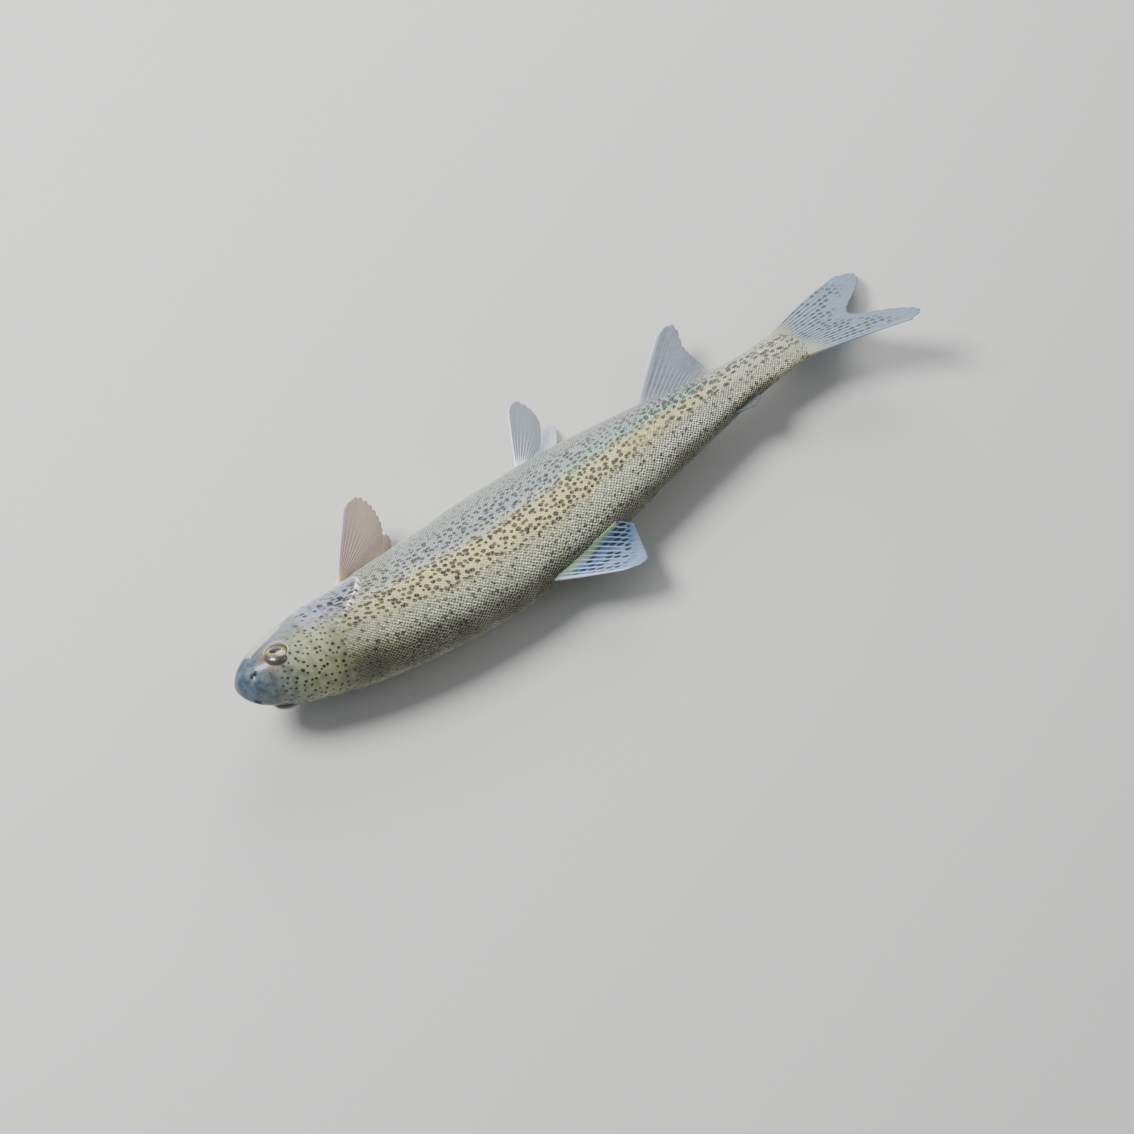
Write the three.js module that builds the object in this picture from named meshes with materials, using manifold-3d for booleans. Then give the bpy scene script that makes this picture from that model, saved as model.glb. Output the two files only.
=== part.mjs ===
import * as THREE from 'three';
import { mergeVertices } from 'three/addons/utils/BufferGeometryUtils.js';
import Module from 'manifold-3d';

// A life-size rainbow trout, lying on its left flank with the head a little raised.
// It is drawn straight first: x runs from the snout to the tail, y out of the right flank
// and z out of the back. Each piece is cut there, bent into the resting pose and trimmed at
// the floor. Millimetres, degrees, +Z up; the belly faces +Y and the head -X.

// Driving dimensions.
const STANDARD_LENGTH = 443;       // snout to the root of the tail fin rays
const FLESH_END = 1.02;            // where the fleshy tail root ends, in standard lengths
const GAP = 0.3;                   // clearance between neighbouring pieces
const PLATE_DEPTH = 2.6;           // gill covers and upper jaw bones
const FIN_EDGE = 0.8;              // thickness of a fin at its edge
const REST_DEPTH = 2.3;            // how far the flank is flattened where it lies
const RING_POINTS = 36;
const RING_SPACING = 14;

// Outlines in shares of the standard length, at shares of the way along the body.
const NOSE_ROUNDING = 0.044;
const TAIL_ROUNDING = 0.030;
const BACK_LINE = [[0, 0.025], [0.032, 0.037], [0.062, 0.0512], [0.15, 0.0796], [0.28, 0.1009],
  [0.4, 0.107], [0.55, 0.0971], [0.73, 0.07], [0.87, 0.051], [0.93, 0.047], [1.03, 0.054]];
const BELLY_LINE = [[0, 0.026], [0.032, 0.039], [0.062, 0.0545], [0.15, 0.087], [0.28, 0.0935],
  [0.42, 0.101], [0.6, 0.092], [0.75, 0.073], [0.87, 0.0497], [0.93, 0.0447], [1.03, 0.051]];
const HALF_WIDTH = [[0, 0.0315], [0.032, 0.0375], [0.062, 0.046], [0.1, 0.0532], [0.16, 0.0603],
  [0.36, 0.0646], [0.55, 0.0596], [0.73, 0.0429], [0.87, 0.0258], [1, 0.0119], [1.03, 0.0095]];
const BACK_SQUARENESS = [[0, 2.5], [0.12, 2.35], [0.3, 2.15], [1.03, 2.1]];
const BELLY_SQUARENESS = [[0, 2.3], [0.12, 1.95], [0.3, 2.1], [1.03, 2.1]];

// Pose: angles in degrees, each growing from nothing at one share of the way to its end.
const ROLL = 14;                   // back raised off the floor at mid-body
const HEAD_BEND = { from: 0.42, lift: 13, nod: -6, roll: 17 };
const TAIL_BEND = { from: 0.55, nod: 2, roll: 13 };
const FIN_BEND = { from: 0.97, until: 1.17, turn: -13 };

// Where the body is divided, in shares of the standard length.
const NAPE = 0.178;
const WAIST = 0.47;
const VENT = 0.735;

const EYE = { along: 0.061, up: 0.018, radius: 9, halfDepth: 4.6, sunk: 3.4 };

const wasm = await Module();
wasm.setup();

// A smooth curve through points, with no overshoot between them (monotone cubic).
function curveThrough(points) {
  const steps = points.slice(1).map((point, i) => point[0] - points[i][0]);
  const slopes = steps.map((step, i) => (points[i + 1][1] - points[i][1]) / step);
  const tangents = points.map((point, i) => {
    if (i === 0) return slopes[0];
    if (i === points.length - 1) return slopes[i - 1];
    if (slopes[i - 1] * slopes[i] <= 0) return 0;
    const before = 2 * steps[i] + steps[i - 1];
    const after = steps[i] + 2 * steps[i - 1];
    return (before + after) / (before / slopes[i - 1] + after / slopes[i]);
  });
  return (place) => {
    let i = 0;
    while (i < steps.length - 1 && place > points[i + 1][0]) i += 1;
    const t = THREE.MathUtils.clamp((place - points[i][0]) / steps[i], 0, 1);
    const rise = t * t * (3 - 2 * t);
    const leave = t * (1 - t) * (1 - t);
    const arrive = t * t * (t - 1);
    return points[i][1] * (1 - rise) + points[i + 1][1] * rise
      + steps[i] * (tangents[i] * leave + tangents[i + 1] * arrive);
  };
}

const backLine = curveThrough(BACK_LINE);
const bellyLine = curveThrough(BELLY_LINE);
const halfWidth = curveThrough(HALF_WIDTH);
const backSquareness = curveThrough(BACK_SQUARENESS);
const bellySquareness = curveThrough(BELLY_SQUARENESS);

// How much of the full section is left inside the rounded snout and tail root.
function roundedEnds(share) {
  const nose = THREE.MathUtils.clamp(1 - share / NOSE_ROUNDING, 0, 1);
  const tail = THREE.MathUtils.clamp(1 - (FLESH_END - share) / TAIL_ROUNDING, 0, 1);
  return Math.sqrt(1 - nose * nose) * Math.sqrt(1 - tail * tail);
}

// One point of the body's section: turn 0 is the right flank and 90 degrees the back.
function sectionPoint(share, turn, grow) {
  const ends = roundedEnds(share) * STANDARD_LENGTH;
  const isBack = Math.sin(turn) >= 0;
  const height = (isBack ? backLine(share) : bellyLine(share)) * ends + grow;
  const width = halfWidth(share) * ends + grow;
  const power = 2 / (isBack ? backSquareness(share) : bellySquareness(share));
  const across = Math.sign(Math.cos(turn)) * Math.abs(Math.cos(turn)) ** power;
  const upward = Math.sign(Math.sin(turn)) * Math.abs(Math.sin(turn)) ** power;
  return [across * Math.max(width, 0.01), upward * Math.max(height, 0.01)];
}

// Places of the body's rings: close together in the snout, even along the rest.
function ringShares() {
  const shares = [];
  const noseRings = 7;
  for (let i = 1; i <= noseRings; i += 1) {
    shares.push(NOSE_ROUNDING * (1 - Math.cos((i / noseRings) * (Math.PI / 2))));
  }
  const count = Math.round(((FLESH_END - NOSE_ROUNDING) * STANDARD_LENGTH) / RING_SPACING);
  for (let i = 1; i < count; i += 1) {
    shares.push(NOSE_ROUNDING + ((FLESH_END - NOSE_ROUNDING) * i) / count);
  }
  shares.push(FLESH_END - TAIL_ROUNDING * 0.08);
  return shares;
}

// The whole body, grown (or shrunk) by a distance all round.
function bodyLoft(grow) {
  const shares = ringShares();
  const vertices = [-grow, 0, 0];
  for (const share of shares) {
    for (let k = 0; k < RING_POINTS; k += 1) {
      const [y, z] = sectionPoint(share, (k / RING_POINTS) * 2 * Math.PI, grow);
      vertices.push(share * STANDARD_LENGTH, y, z);
    }
  }
  vertices.push(FLESH_END * STANDARD_LENGTH + grow, 0, 0);
  const last = vertices.length / 3 - 1;
  const faces = [];
  for (let k = 0; k < RING_POINTS; k += 1) {
    const next = (k + 1) % RING_POINTS;
    faces.push(0, 1 + next, 1 + k);
    for (let ring = 0; ring < shares.length - 1; ring += 1) {
      const a = 1 + ring * RING_POINTS;
      const b = a + RING_POINTS;
      faces.push(a + k, a + next, b + k, a + next, b + next, b + k);
    }
    const end = 1 + (shares.length - 1) * RING_POINTS;
    faces.push(end + k, end + next, last);
  }
  return solidFrom(vertices, faces);
}

function solidFrom(vertices, faces) {
  const geometry = new THREE.BufferGeometry();
  geometry.setAttribute('position', new THREE.Float32BufferAttribute(vertices, 3));
  geometry.setIndex(faces);
  return toSolid(geometry);
}

function toSolid(geometry) {
  const bare = geometry.clone();
  bare.deleteAttribute('normal');
  bare.deleteAttribute('uv');
  const merged = mergeVertices(bare, 1e-4);
  const solid = new wasm.Manifold(new wasm.Mesh({
    numProp: 3,
    vertProperties: new Float32Array(merged.attributes.position.array),
    triVerts: new Uint32Array(merged.index.array),
  }));
  return solid;
}

// A side-view outline, in shares, pushed through the fish from one y to another.
function sidePrism(outline, yFrom, yTo) {
  const shape = new THREE.Shape(outline.map(([x, z]) => new THREE.Vector2(x, z)
    .multiplyScalar(STANDARD_LENGTH)));
  const geometry = new THREE.ExtrudeGeometry(shape, { depth: yTo - yFrom, bevelEnabled: false });
  geometry.rotateX(Math.PI / 2);
  geometry.translate(0, yTo, 0);
  return toSolid(geometry);
}

// The same outline, moved outwards by the gap. Outlines run anticlockwise.
function grownOutline(outline) {
  return outline.map((point, i) => {
    const before = outline[(i + outline.length - 1) % outline.length];
    const after = outline[(i + 1) % outline.length];
    const run = new THREE.Vector2(after[0] - before[0], after[1] - before[1]).normalize();
    const shift = GAP / STANDARD_LENGTH;
    return [point[0] + run.y * shift, point[1] - run.x * shift];
  });
}

function splineOutline(points, samples) {
  const curve = new THREE.CatmullRomCurve3(points.map(([x, z]) => new THREE.Vector3(x, z, 0)), true);
  return curve.getPoints(samples).slice(0, samples).map((point) => [point.x, point.y]);
}

const TALL = 0.3;
const WIDE = 200;

function lengthOfBody(from, to) {
  const outline = [[from, -TALL], [to, -TALL], [to, TALL], [from, TALL]];
  return sidePrism(outline, -WIDE, WIDE);
}

const HALF_GAP = GAP / 2 / STANDARD_LENGTH;
const body = bodyLoft(0);
const innerBody = bodyLoft(-PLATE_DEPTH);
const deepBody = bodyLoft(-PLATE_DEPTH - GAP);
const clearBody = bodyLoft(GAP);

// Head: gill covers, upper jaw bones, lower jaw and eyes are let into it.
const COVER_OUTLINE = splineOutline([[0.121, 0.036], [0.113, 0], [0.122, -0.042], [0.158, -0.074],
  [0.199, -0.073], [0.227, -0.055], [0.229, -0.034], [0.201, -0.001], [0.172, 0.025], [0.145, 0.041]], 40);
const JAW_BONE_OUTLINE = [[0.026, -0.0155], [0.06, -0.0285], [0.088, -0.0435], [0.097, -0.044],
  [0.099, -0.037], [0.092, -0.0275], [0.062, -0.0135], [0.03, -0.005]];
const LOWER_JAW_OUTLINE = [[-0.02, -0.3], [0.105, -0.3], [0.12, -0.062], [0.088, -0.0455],
  [0.06, -0.0305], [0.026, -0.0175], [-0.02, -0.006]];

function pair(outline, side) {
  const yFrom = side > 0 ? 1 : -WIDE;
  const yTo = side > 0 ? WIDE : -1;
  const plate = sidePrism(outline, yFrom, yTo).subtract(innerBody).intersect(body);
  const room = sidePrism(grownOutline(outline), yFrom, yTo).subtract(deepBody);
  return { plate, room };
}

function eyeBall(side, grow) {
  const flank = sectionPoint(EYE.along, Math.asin(0.28), 0)[0];
  const ball = new THREE.SphereGeometry(1, 16, 10);
  ball.rotateX(Math.PI / 2);
  ball.rotateX(Math.PI / 2);
  ball.scale(EYE.radius + grow, EYE.halfDepth + grow, EYE.radius + grow);
  ball.translate(EYE.along * STANDARD_LENGTH, side * (flank - EYE.sunk), EYE.up * STANDARD_LENGTH);
  return toSolid(ball);
}

const sides = { right: 1, left: -1 };
const covers = { right: pair(COVER_OUTLINE, 1), left: pair(COVER_OUTLINE, -1) };
const jawBones = { right: pair(JAW_BONE_OUTLINE, 1), left: pair(JAW_BONE_OUTLINE, -1) };
const coverRoom = covers.right.room.add(covers.left.room);
const jawBoneRoom = jawBones.right.room.add(jawBones.left.room);
const jawPrism = sidePrism(LOWER_JAW_OUTLINE, -WIDE, WIDE);
const jawRoom = sidePrism(grownOutline(LOWER_JAW_OUTLINE), -WIDE, WIDE);
const eyeRoom = eyeBall(1, GAP).add(eyeBall(-1, GAP));

const head = lengthOfBody(-0.1, NAPE - HALF_GAP)
  .intersect(body)
  .subtract(coverRoom)
  .subtract(jawRoom)
  .subtract(jawBoneRoom)
  .subtract(eyeRoom);
const lowerJaw = jawPrism.intersect(body).subtract(jawBoneRoom).subtract(coverRoom);

const FIN_STEPS = 5;

// A fin: rays fan out from a root line on the body and bow towards the tail.
// Directions are (along, right, dorsal); lengths and places are shares of standard length.
function finSolid(fin) {
  const { rays, bow, sunk, rootThickness } = fin;
  const lengthAt = curveThrough(fin.lengths);
  const lead = new THREE.Vector3(...fin.lead).normalize();
  const trail = new THREE.Vector3(...fin.trail).normalize();
  const front = new THREE.Vector3(...fin.front);
  const rear = new THREE.Vector3(...fin.rear);
  const middle = (u, v) => {
    const direction = lead.clone().lerp(trail, u).normalize();
    const reach = lengthAt(u) + sunk;
    const point = front.clone().lerp(rear, u).addScaledVector(direction, reach * v - sunk);
    point.x += bow * reach * v * v;
    return point.multiplyScalar(STANDARD_LENGTH);
  };
  const vertices = [];
  const nudge = 0.01;
  for (const face of [0.5, -0.5]) {
    for (let ray = 0; ray < rays; ray += 1) {
      for (let step = 0; step <= FIN_STEPS; step += 1) {
        const u = ray / (rays - 1);
        const v = step / FIN_STEPS;
        const point = middle(u, v);
        const outward = middle(u, v + nudge).sub(middle(u, v - nudge));
        const rearward = middle(u + nudge, v).sub(middle(u - nudge, v));
        const normal = outward.cross(rearward).normalize();
        const rim = Math.min(1, 0.4 + 8 * Math.min(u, 1 - u));
        const thickness = FIN_EDGE + (rootThickness - FIN_EDGE) * rim * (1 - v) ** 2;
        point.addScaledVector(normal, face * thickness);
        vertices.push(point.x, point.y, point.z);
      }
    }
  }
  const row = FIN_STEPS + 1;
  const back = rays * row;
  const faces = [];
  const quad = (a, b, c, d) => faces.push(a, b, c, a, c, d);
  for (let ray = 0; ray < rays - 1; ray += 1) {
    const root = ray * row;
    const tip = root + FIN_STEPS;
    for (let a = root; a < tip; a += 1) {
      quad(a, a + 1, a + row + 1, a + row);
      quad(back + a, back + a + row, back + a + row + 1, back + a + 1);
    }
    quad(root, root + row, back + root + row, back + root);
    quad(tip, back + tip, back + tip + row, tip + row);
  }
  const lastRay = (rays - 1) * row;
  for (let step = 0; step < FIN_STEPS; step += 1) {
    const a = lastRay + step;
    quad(step, back + step, back + step + 1, step + 1);
    quad(a, a + 1, back + a + 1, back + a);
  }
  return solidFrom(vertices, faces);
}

const FINS = {
  dorsal_fin: {
    front: [0.459, -0.004, 0.1035], rear: [0.593, 0.002, 0.0905],
    lead: [0.87, -0.16, 0.46], trail: [0.69, -0.66, 0.12],
    lengths: [[0, 0.124], [0.12, 0.12], [0.45, 0.1], [1, 0.036]],
    rays: 12, bow: 0.01, sunk: 0.012, rootThickness: 5,
  },
  adipose_fin: {
    front: [0.838, 0, 0.0515], rear: [0.866, 0, 0.048], lead: [0.93, 0, 0.36], trail: [1, 0, 0.02],
    lengths: [[0, 0.04], [0.4, 0.042], [1, 0.03]],
    rays: 5, bow: 0, sunk: 0.006, rootThickness: 2.6,
  },
  anal_fin: {
    front: [0.75, 0.002, -0.0705], rear: [0.838, 0.002, -0.054],
    lead: [0.77, 0.43, -0.47], trail: [0.95, 0.12, -0.28],
    lengths: [[0, 0.13], [0.14, 0.15], [0.45, 0.1], [1, 0.05]],
    rays: 11, bow: 0.05, sunk: 0.012, rootThickness: 4,
  },
  caudal_fin: {
    front: [1.004, 0, 0.05], rear: [1.004, 0, -0.047], lead: [0.92, 0, 0.39], trail: [0.92, 0, -0.39],
    lengths: [[0, 0.172], [0.1, 0.195], [0.5, 0.112], [0.9, 0.195], [1, 0.172]],
    rays: 15, bow: 0, sunk: 0.01, rootThickness: 5,
  },
  pectoral_fin_right: {
    front: [0.208, 0.043, -0.066], rear: [0.218, 0.031, -0.079],
    lead: [0.6, 0.31, -0.74], trail: [0.93, -0.2, -0.3],
    lengths: [[0, 0.126], [0.2, 0.151], [0.6, 0.129], [1, 0.086]],
    rays: 11, bow: 0.04, sunk: 0.012, rootThickness: 4.5,
  },
  pectoral_fin_left: {
    front: [0.208, -0.043, -0.066], rear: [0.218, -0.031, -0.079],
    lead: [0.72, 0.27, -0.64], trail: [0.97, 0.13, -0.2],
    lengths: [[0, 0.14], [0.2, 0.152], [0.6, 0.115], [1, 0.06]],
    rays: 11, bow: 0.06, sunk: 0.012, rootThickness: 4.5,
  },
  pelvic_fin_right: {
    front: [0.541, 0.02, -0.0915], rear: [0.562, 0.01, -0.094],
    lead: [0.47, 0.52, -0.71], trail: [0.81, -0.27, -0.52],
    lengths: [[0, 0.089], [0.2, 0.109], [0.6, 0.099], [1, 0.052]],
    rays: 9, bow: 0.04, sunk: 0.012, rootThickness: 4,
  },
  pelvic_fin_left: {
    front: [0.541, -0.02, -0.0915], rear: [0.562, -0.01, -0.094],
    lead: [0.78, 0.06, -0.62], trail: [0.98, 0.02, -0.18],
    lengths: [[0, 0.112], [0.2, 0.122], [0.6, 0.09], [1, 0.05]],
    rays: 9, bow: 0.04, sunk: 0.012, rootThickness: 4,
  },
};

// The bent backbone: a frame for every share of the way, from small steps along it.
function backbone() {
  const frames = [];
  const step = 0.005;
  const at = new THREE.Vector3();
  for (let share = 0; share <= 1.25; share += step) {
    const headPart = Math.max(0, 1 - share / HEAD_BEND.from);
    const tailPart = Math.max(0, (share - TAIL_BEND.from) / (1 - TAIL_BEND.from));
    const finPart = THREE.MathUtils.clamp(
      (share - FIN_BEND.from) / (FIN_BEND.until - FIN_BEND.from), 0, 1);
    const slope = -THREE.MathUtils.degToRad(HEAD_BEND.lift * headPart);
    const turn = THREE.MathUtils.degToRad(HEAD_BEND.nod * headPart + TAIL_BEND.nod * tailPart
      + FIN_BEND.turn * finPart);
    const roll = THREE.MathUtils.degToRad(ROLL + HEAD_BEND.roll * headPart + TAIL_BEND.roll * tailPart);
    const along = new THREE.Vector3(Math.cos(slope) * Math.cos(turn), Math.cos(slope) * Math.sin(turn),
      Math.sin(slope));
    const level = new THREE.Vector3(-Math.sin(turn), Math.cos(turn), 0);
    const upright = new THREE.Vector3().crossVectors(along, level);
    const back = level.clone().multiplyScalar(-Math.cos(roll)).addScaledVector(upright, Math.sin(roll));
    const right = upright.clone().multiplyScalar(Math.cos(roll)).addScaledVector(level, Math.sin(roll));
    frames.push({ at: at.clone(), along, back, right });
    at.addScaledVector(along, step * STANDARD_LENGTH);
  }
  return (share) => {
    const place = THREE.MathUtils.clamp(share / step, 0, frames.length - 1.001);
    const i = Math.floor(place);
    const blend = (key) => frames[i][key].clone().lerp(frames[i + 1][key], place - i);
    const frame = { at: blend('at'), along: blend('along'), back: blend('back'), right: blend('right') };
    frame.at.addScaledVector(frame.along, Math.min(0, share) * STANDARD_LENGTH);
    return frame;
  };
}

const frameAt = backbone();

// The main body of a cut piece, without the crumbs that a cut leaves beside it.
function withoutCrumbs(solid) {
  const parts = solid.decompose();
  return parts.reduce((best, part) => (part.volume() > best.volume() ? part : best));
}

function bend(solid) {
  const mesh = solid.getMesh();
  const points = new Float32Array(mesh.vertProperties);
  for (let i = 0; i < points.length; i += 3) {
    const frame = frameAt(points[i] / STANDARD_LENGTH);
    const point = frame.at.addScaledVector(frame.right, points[i + 1])
      .addScaledVector(frame.back, points[i + 2]);
    points[i] = point.x;
    points[i + 1] = point.y;
    points[i + 2] = point.z;
  }
  return solidFrom(points, Array.from(mesh.triVerts));
}

function asGeometry(solid) {
  const mesh = solid.getMesh();
  const geometry = new THREE.BufferGeometry();
  geometry.setAttribute('position', new THREE.BufferAttribute(new Float32Array(mesh.vertProperties), 3));
  geometry.setIndex(new THREE.BufferAttribute(new Uint32Array(mesh.triVerts), 1));
  geometry.computeVertexNormals();
  return geometry;
}

const skin = new THREE.MeshStandardMaterial({ color: 0x8f947c, roughness: 0.32, metalness: 0.1 });
const cheek = new THREE.MeshStandardMaterial({ color: 0xa8a6a0, roughness: 0.28, metalness: 0.2 });
const eyeGlass = new THREE.MeshStandardMaterial({ color: 0x24221c, roughness: 0.06, metalness: 0 });
const finSkin = new THREE.MeshStandardMaterial({ color: 0xa3a59a, roughness: 0.35, metalness: 0 });

const pieces = [
  ['head', head, skin],
  ['lower_jaw', lowerJaw, skin],
  ['trunk_front', lengthOfBody(NAPE + HALF_GAP, WAIST - HALF_GAP).intersect(body).subtract(coverRoom), skin],
  ['trunk_rear', lengthOfBody(WAIST + HALF_GAP, VENT - HALF_GAP).intersect(body), skin],
  ['tail_stalk', lengthOfBody(VENT + HALF_GAP, FLESH_END + TALL).intersect(body), skin],
];
for (const [name, side] of Object.entries(sides)) {
  pieces.push([`gill_cover_${name}`, covers[name].plate, cheek]);
  pieces.push([`upper_jaw_${name}`, jawBones[name].plate, cheek]);
  pieces.push([`eye_${name}`, eyeBall(side, 0), eyeGlass]);
}
for (const [name, fin] of Object.entries(FINS)) {
  pieces.push([name, finSolid(fin).subtract(clearBody), finSkin]);
}

// Bent pieces are set down so that the flank meets the floor, and cut level there.
const bentPieces = pieces.map(([name, solid, material]) => [name, bend(solid), material]);
const lowest = bentPieces
  .filter(([name]) => name.startsWith('trunk'))
  .reduce((level, [, solid]) => Math.min(level, solid.boundingBox().min[2]), Infinity);
const floorLevel = lowest + REST_DEPTH;
const aboveFloor = (() => {
  const block = new THREE.BoxGeometry(3 * STANDARD_LENGTH, 3 * STANDARD_LENGTH, STANDARD_LENGTH);
  block.translate(STANDARD_LENGTH / 2, 0, STANDARD_LENGTH / 2 + floorLevel);
  return toSolid(block);
})();

const trout = new THREE.Group();
for (const [name, solid, material] of bentPieces) {
  const mesh = new THREE.Mesh(asGeometry(withoutCrumbs(solid.intersect(aboveFloor))), material);
  mesh.name = name;
  trout.add(mesh);
}
const size = new THREE.Box3().setFromObject(trout);
const middle = size.getCenter(new THREE.Vector3());
trout.position.set(-middle.x, -middle.y, -floorLevel);

export default trout;
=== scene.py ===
import math

import bpy
import numpy as np
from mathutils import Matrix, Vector


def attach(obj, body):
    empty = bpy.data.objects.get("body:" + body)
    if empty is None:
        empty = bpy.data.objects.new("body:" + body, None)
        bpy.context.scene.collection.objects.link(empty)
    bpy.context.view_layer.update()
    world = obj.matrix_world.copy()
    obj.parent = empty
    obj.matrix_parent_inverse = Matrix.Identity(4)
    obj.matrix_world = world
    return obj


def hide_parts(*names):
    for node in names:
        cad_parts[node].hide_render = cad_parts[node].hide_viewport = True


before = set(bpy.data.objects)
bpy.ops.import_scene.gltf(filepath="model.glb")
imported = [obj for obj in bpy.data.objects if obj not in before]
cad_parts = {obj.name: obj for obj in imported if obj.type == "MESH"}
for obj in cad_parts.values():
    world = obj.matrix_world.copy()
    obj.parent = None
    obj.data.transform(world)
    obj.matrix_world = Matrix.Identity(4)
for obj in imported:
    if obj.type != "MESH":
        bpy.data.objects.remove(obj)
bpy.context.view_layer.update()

# --- View -------------------------------------------------------------------------------------
# The camera stands beyond the fish's back and looks steeply down, so that the head lies at the
# lower left of the square frame and the tail at the upper right.
AIM = (-0.0476, -0.0442, 0.0283)
CAMERA_TURN = math.radians(-38.5)
CAMERA_RISE = math.radians(60)
CAMERA_DISTANCE = 1.442
CAMERA_ANGLE = math.radians(28)
NEAREST_SEEN = 0.05


def add_object(name, data):
    made = bpy.data.objects.new(name, data)
    bpy.context.scene.collection.objects.link(made)
    return made


camera = add_object("camera", bpy.data.cameras.new("camera"))
bpy.context.scene.camera = camera
camera.data.angle = CAMERA_ANGLE
camera.data.clip_start = NEAREST_SEEN
camera.rotation_euler = (math.pi / 2 - CAMERA_RISE, 0, CAMERA_TURN)
camera.location = (
    AIM[0] + CAMERA_DISTANCE * math.sin(CAMERA_TURN) * math.cos(CAMERA_RISE),
    AIM[1] - CAMERA_DISTANCE * math.cos(CAMERA_TURN) * math.cos(CAMERA_RISE),
    AIM[2] + CAMERA_DISTANCE * math.sin(CAMERA_RISE),
)

# --- Floor and light --------------------------------------------------------------------------
# A plain pale table top, a broad soft lamp above it, two weaker ones from behind and from the
# far side, and an even sky that fills the shadows.
FLOOR_SIZE = 8.0
FLOOR_TINT = (182, 181, 178)
FLOOR_ROUGHNESS = 0.85
SKY_TINT = (226, 232, 240)
SKY_STRENGTH = 0.48


def colour(red, green, blue):
    """A screen colour, 0 to 255 each, as the linear colour that a shader takes."""
    shares = [value / 255 for value in (red, green, blue)]
    return tuple([s / 12.92 if s < 0.04045 else ((s + 0.055) / 1.055) ** 2.4 for s in shares] + [1.0])


def mesh_from(name, points, faces):
    mesh = bpy.data.meshes.new(name)
    mesh.from_pydata(np.asarray(points).reshape(-1, 3).tolist(), [], faces)
    mesh.polygons.foreach_set("use_smooth", [True] * len(mesh.polygons))
    return mesh


def new_finish(name, **constants):
    """A material and its shader, with these of its inputs set."""
    material = bpy.data.materials.new(name)
    material.use_nodes = True
    shader = material.node_tree.nodes["Principled BSDF"]
    for key, value in constants.items():
        shader.inputs[key.replace("_", " ").title().replace("Ior", "IOR")].default_value = value
    return material, shader


half = FLOOR_SIZE / 2
floor_corners = [(-half, -half, 0), (half, -half, 0), (half, half, 0), (-half, half, 0)]
floor = add_object("floor", mesh_from("floor", floor_corners, [(0, 1, 2, 3)]))
floor.data.materials.append(new_finish("pale_floor", base_color=colour(*FLOOR_TINT),
                                       roughness=FLOOR_ROUGHNESS)[0])


def soft_lamp(name, place, size, power):
    lamp = add_object(name, bpy.data.lights.new(name, "AREA"))
    lamp.data.shape = "DISK"
    lamp.data.size = size
    lamp.data.energy = power
    lamp.location = place
    lamp.rotation_euler = Vector(place).to_track_quat("Z", "Y").to_euler()


soft_lamp("key_lamp", place=(-0.8, 0.7, 1.5), size=0.8, power=62)
soft_lamp("sheen_lamp", place=(0.8, 1.0, 0.8), size=1.1, power=22)
soft_lamp("far_lamp", place=(1.1, -0.9, 1.2), size=0.9, power=5)
sky = bpy.data.worlds.new("sky")
sky.use_nodes = True
sky.node_tree.nodes["Background"].inputs["Color"].default_value = colour(*SKY_TINT)
sky.node_tree.nodes["Background"].inputs["Strength"].default_value = SKY_STRENGTH
bpy.context.scene.world = sky

# --- Skin -------------------------------------------------------------------------------------
# One wet skin covers the flesh from snout to tail root. It is drawn straight first: along the
# body, out of the right flank and out of the back. The mouth, jaw bones, gill covers, nostrils
# and eye openings are pressed into it, and then it is bent into the fish's resting pose.
LENGTH = 0.443                     # snout to the root of the tail fin rays, in metres
FLESH_END = 1.02                   # a share of that length, as places along the body are
NOSE_ROUNDING = 0.044
TAIL_ROUNDING = 0.030
SNOUT_AT = (-0.264713, 0.004074, 0.048995)
ROLL = 14
HEAD_BEND = {"until": 0.42, "lift": 13, "nod": -6, "roll": 17}
TAIL_BEND = {"from": 0.55, "nod": 2, "roll": 13}
FIN_BEND = {"from": 0.97, "until": 1.17, "turn": -13}
BONE_STEP = 0.005
BONE_END = 1.25
GIRTH_POINTS = 272
GIRTH_SAMPLES = 1441
NOSE_RINGS = 42
TAIL_RINGS = 8
RING_STEPS = [[0.03, 0.00046], [0.235, 0.0005], [0.27, 0.0016], [0.33, 0.0031], [1.03, 0.0031]]
NAPE = (0.16, 0.2)                 # where the bare head gives way to scales
COAT_DEPTH = 0.00050               # how far the skin lies inside the outline under the scales
BARE_DEPTH = 0.00030               # and on the bare head
MM = 0.001


def curve_through(points):
    """A smooth curve through points that never overshoots between them."""
    places, values = np.array(points, float).T
    steps = np.diff(places)
    slopes = np.diff(values) / steps
    tangents = np.concatenate([slopes[:1], np.zeros(len(slopes) - 1), slopes[-1:]])
    for i in range(1, len(slopes)):
        if slopes[i - 1] * slopes[i] > 0:
            before = 2 * steps[i] + steps[i - 1]
            after = steps[i] + 2 * steps[i - 1]
            tangents[i] = (before + after) / (before / slopes[i - 1] + after / slopes[i])

    def at(place):
        i = np.clip(np.searchsorted(places, place, side="right") - 1, 0, len(steps) - 1)
        t = np.clip((place - places[i]) / steps[i], 0, 1)
        rise = t * t * (3 - 2 * t)
        bend = tangents[i] * t * (1 - t) ** 2 + tangents[i + 1] * t * t * (t - 1)
        return values[i] * (1 - rise) + values[i + 1] * rise + steps[i] * bend

    return at


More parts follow.
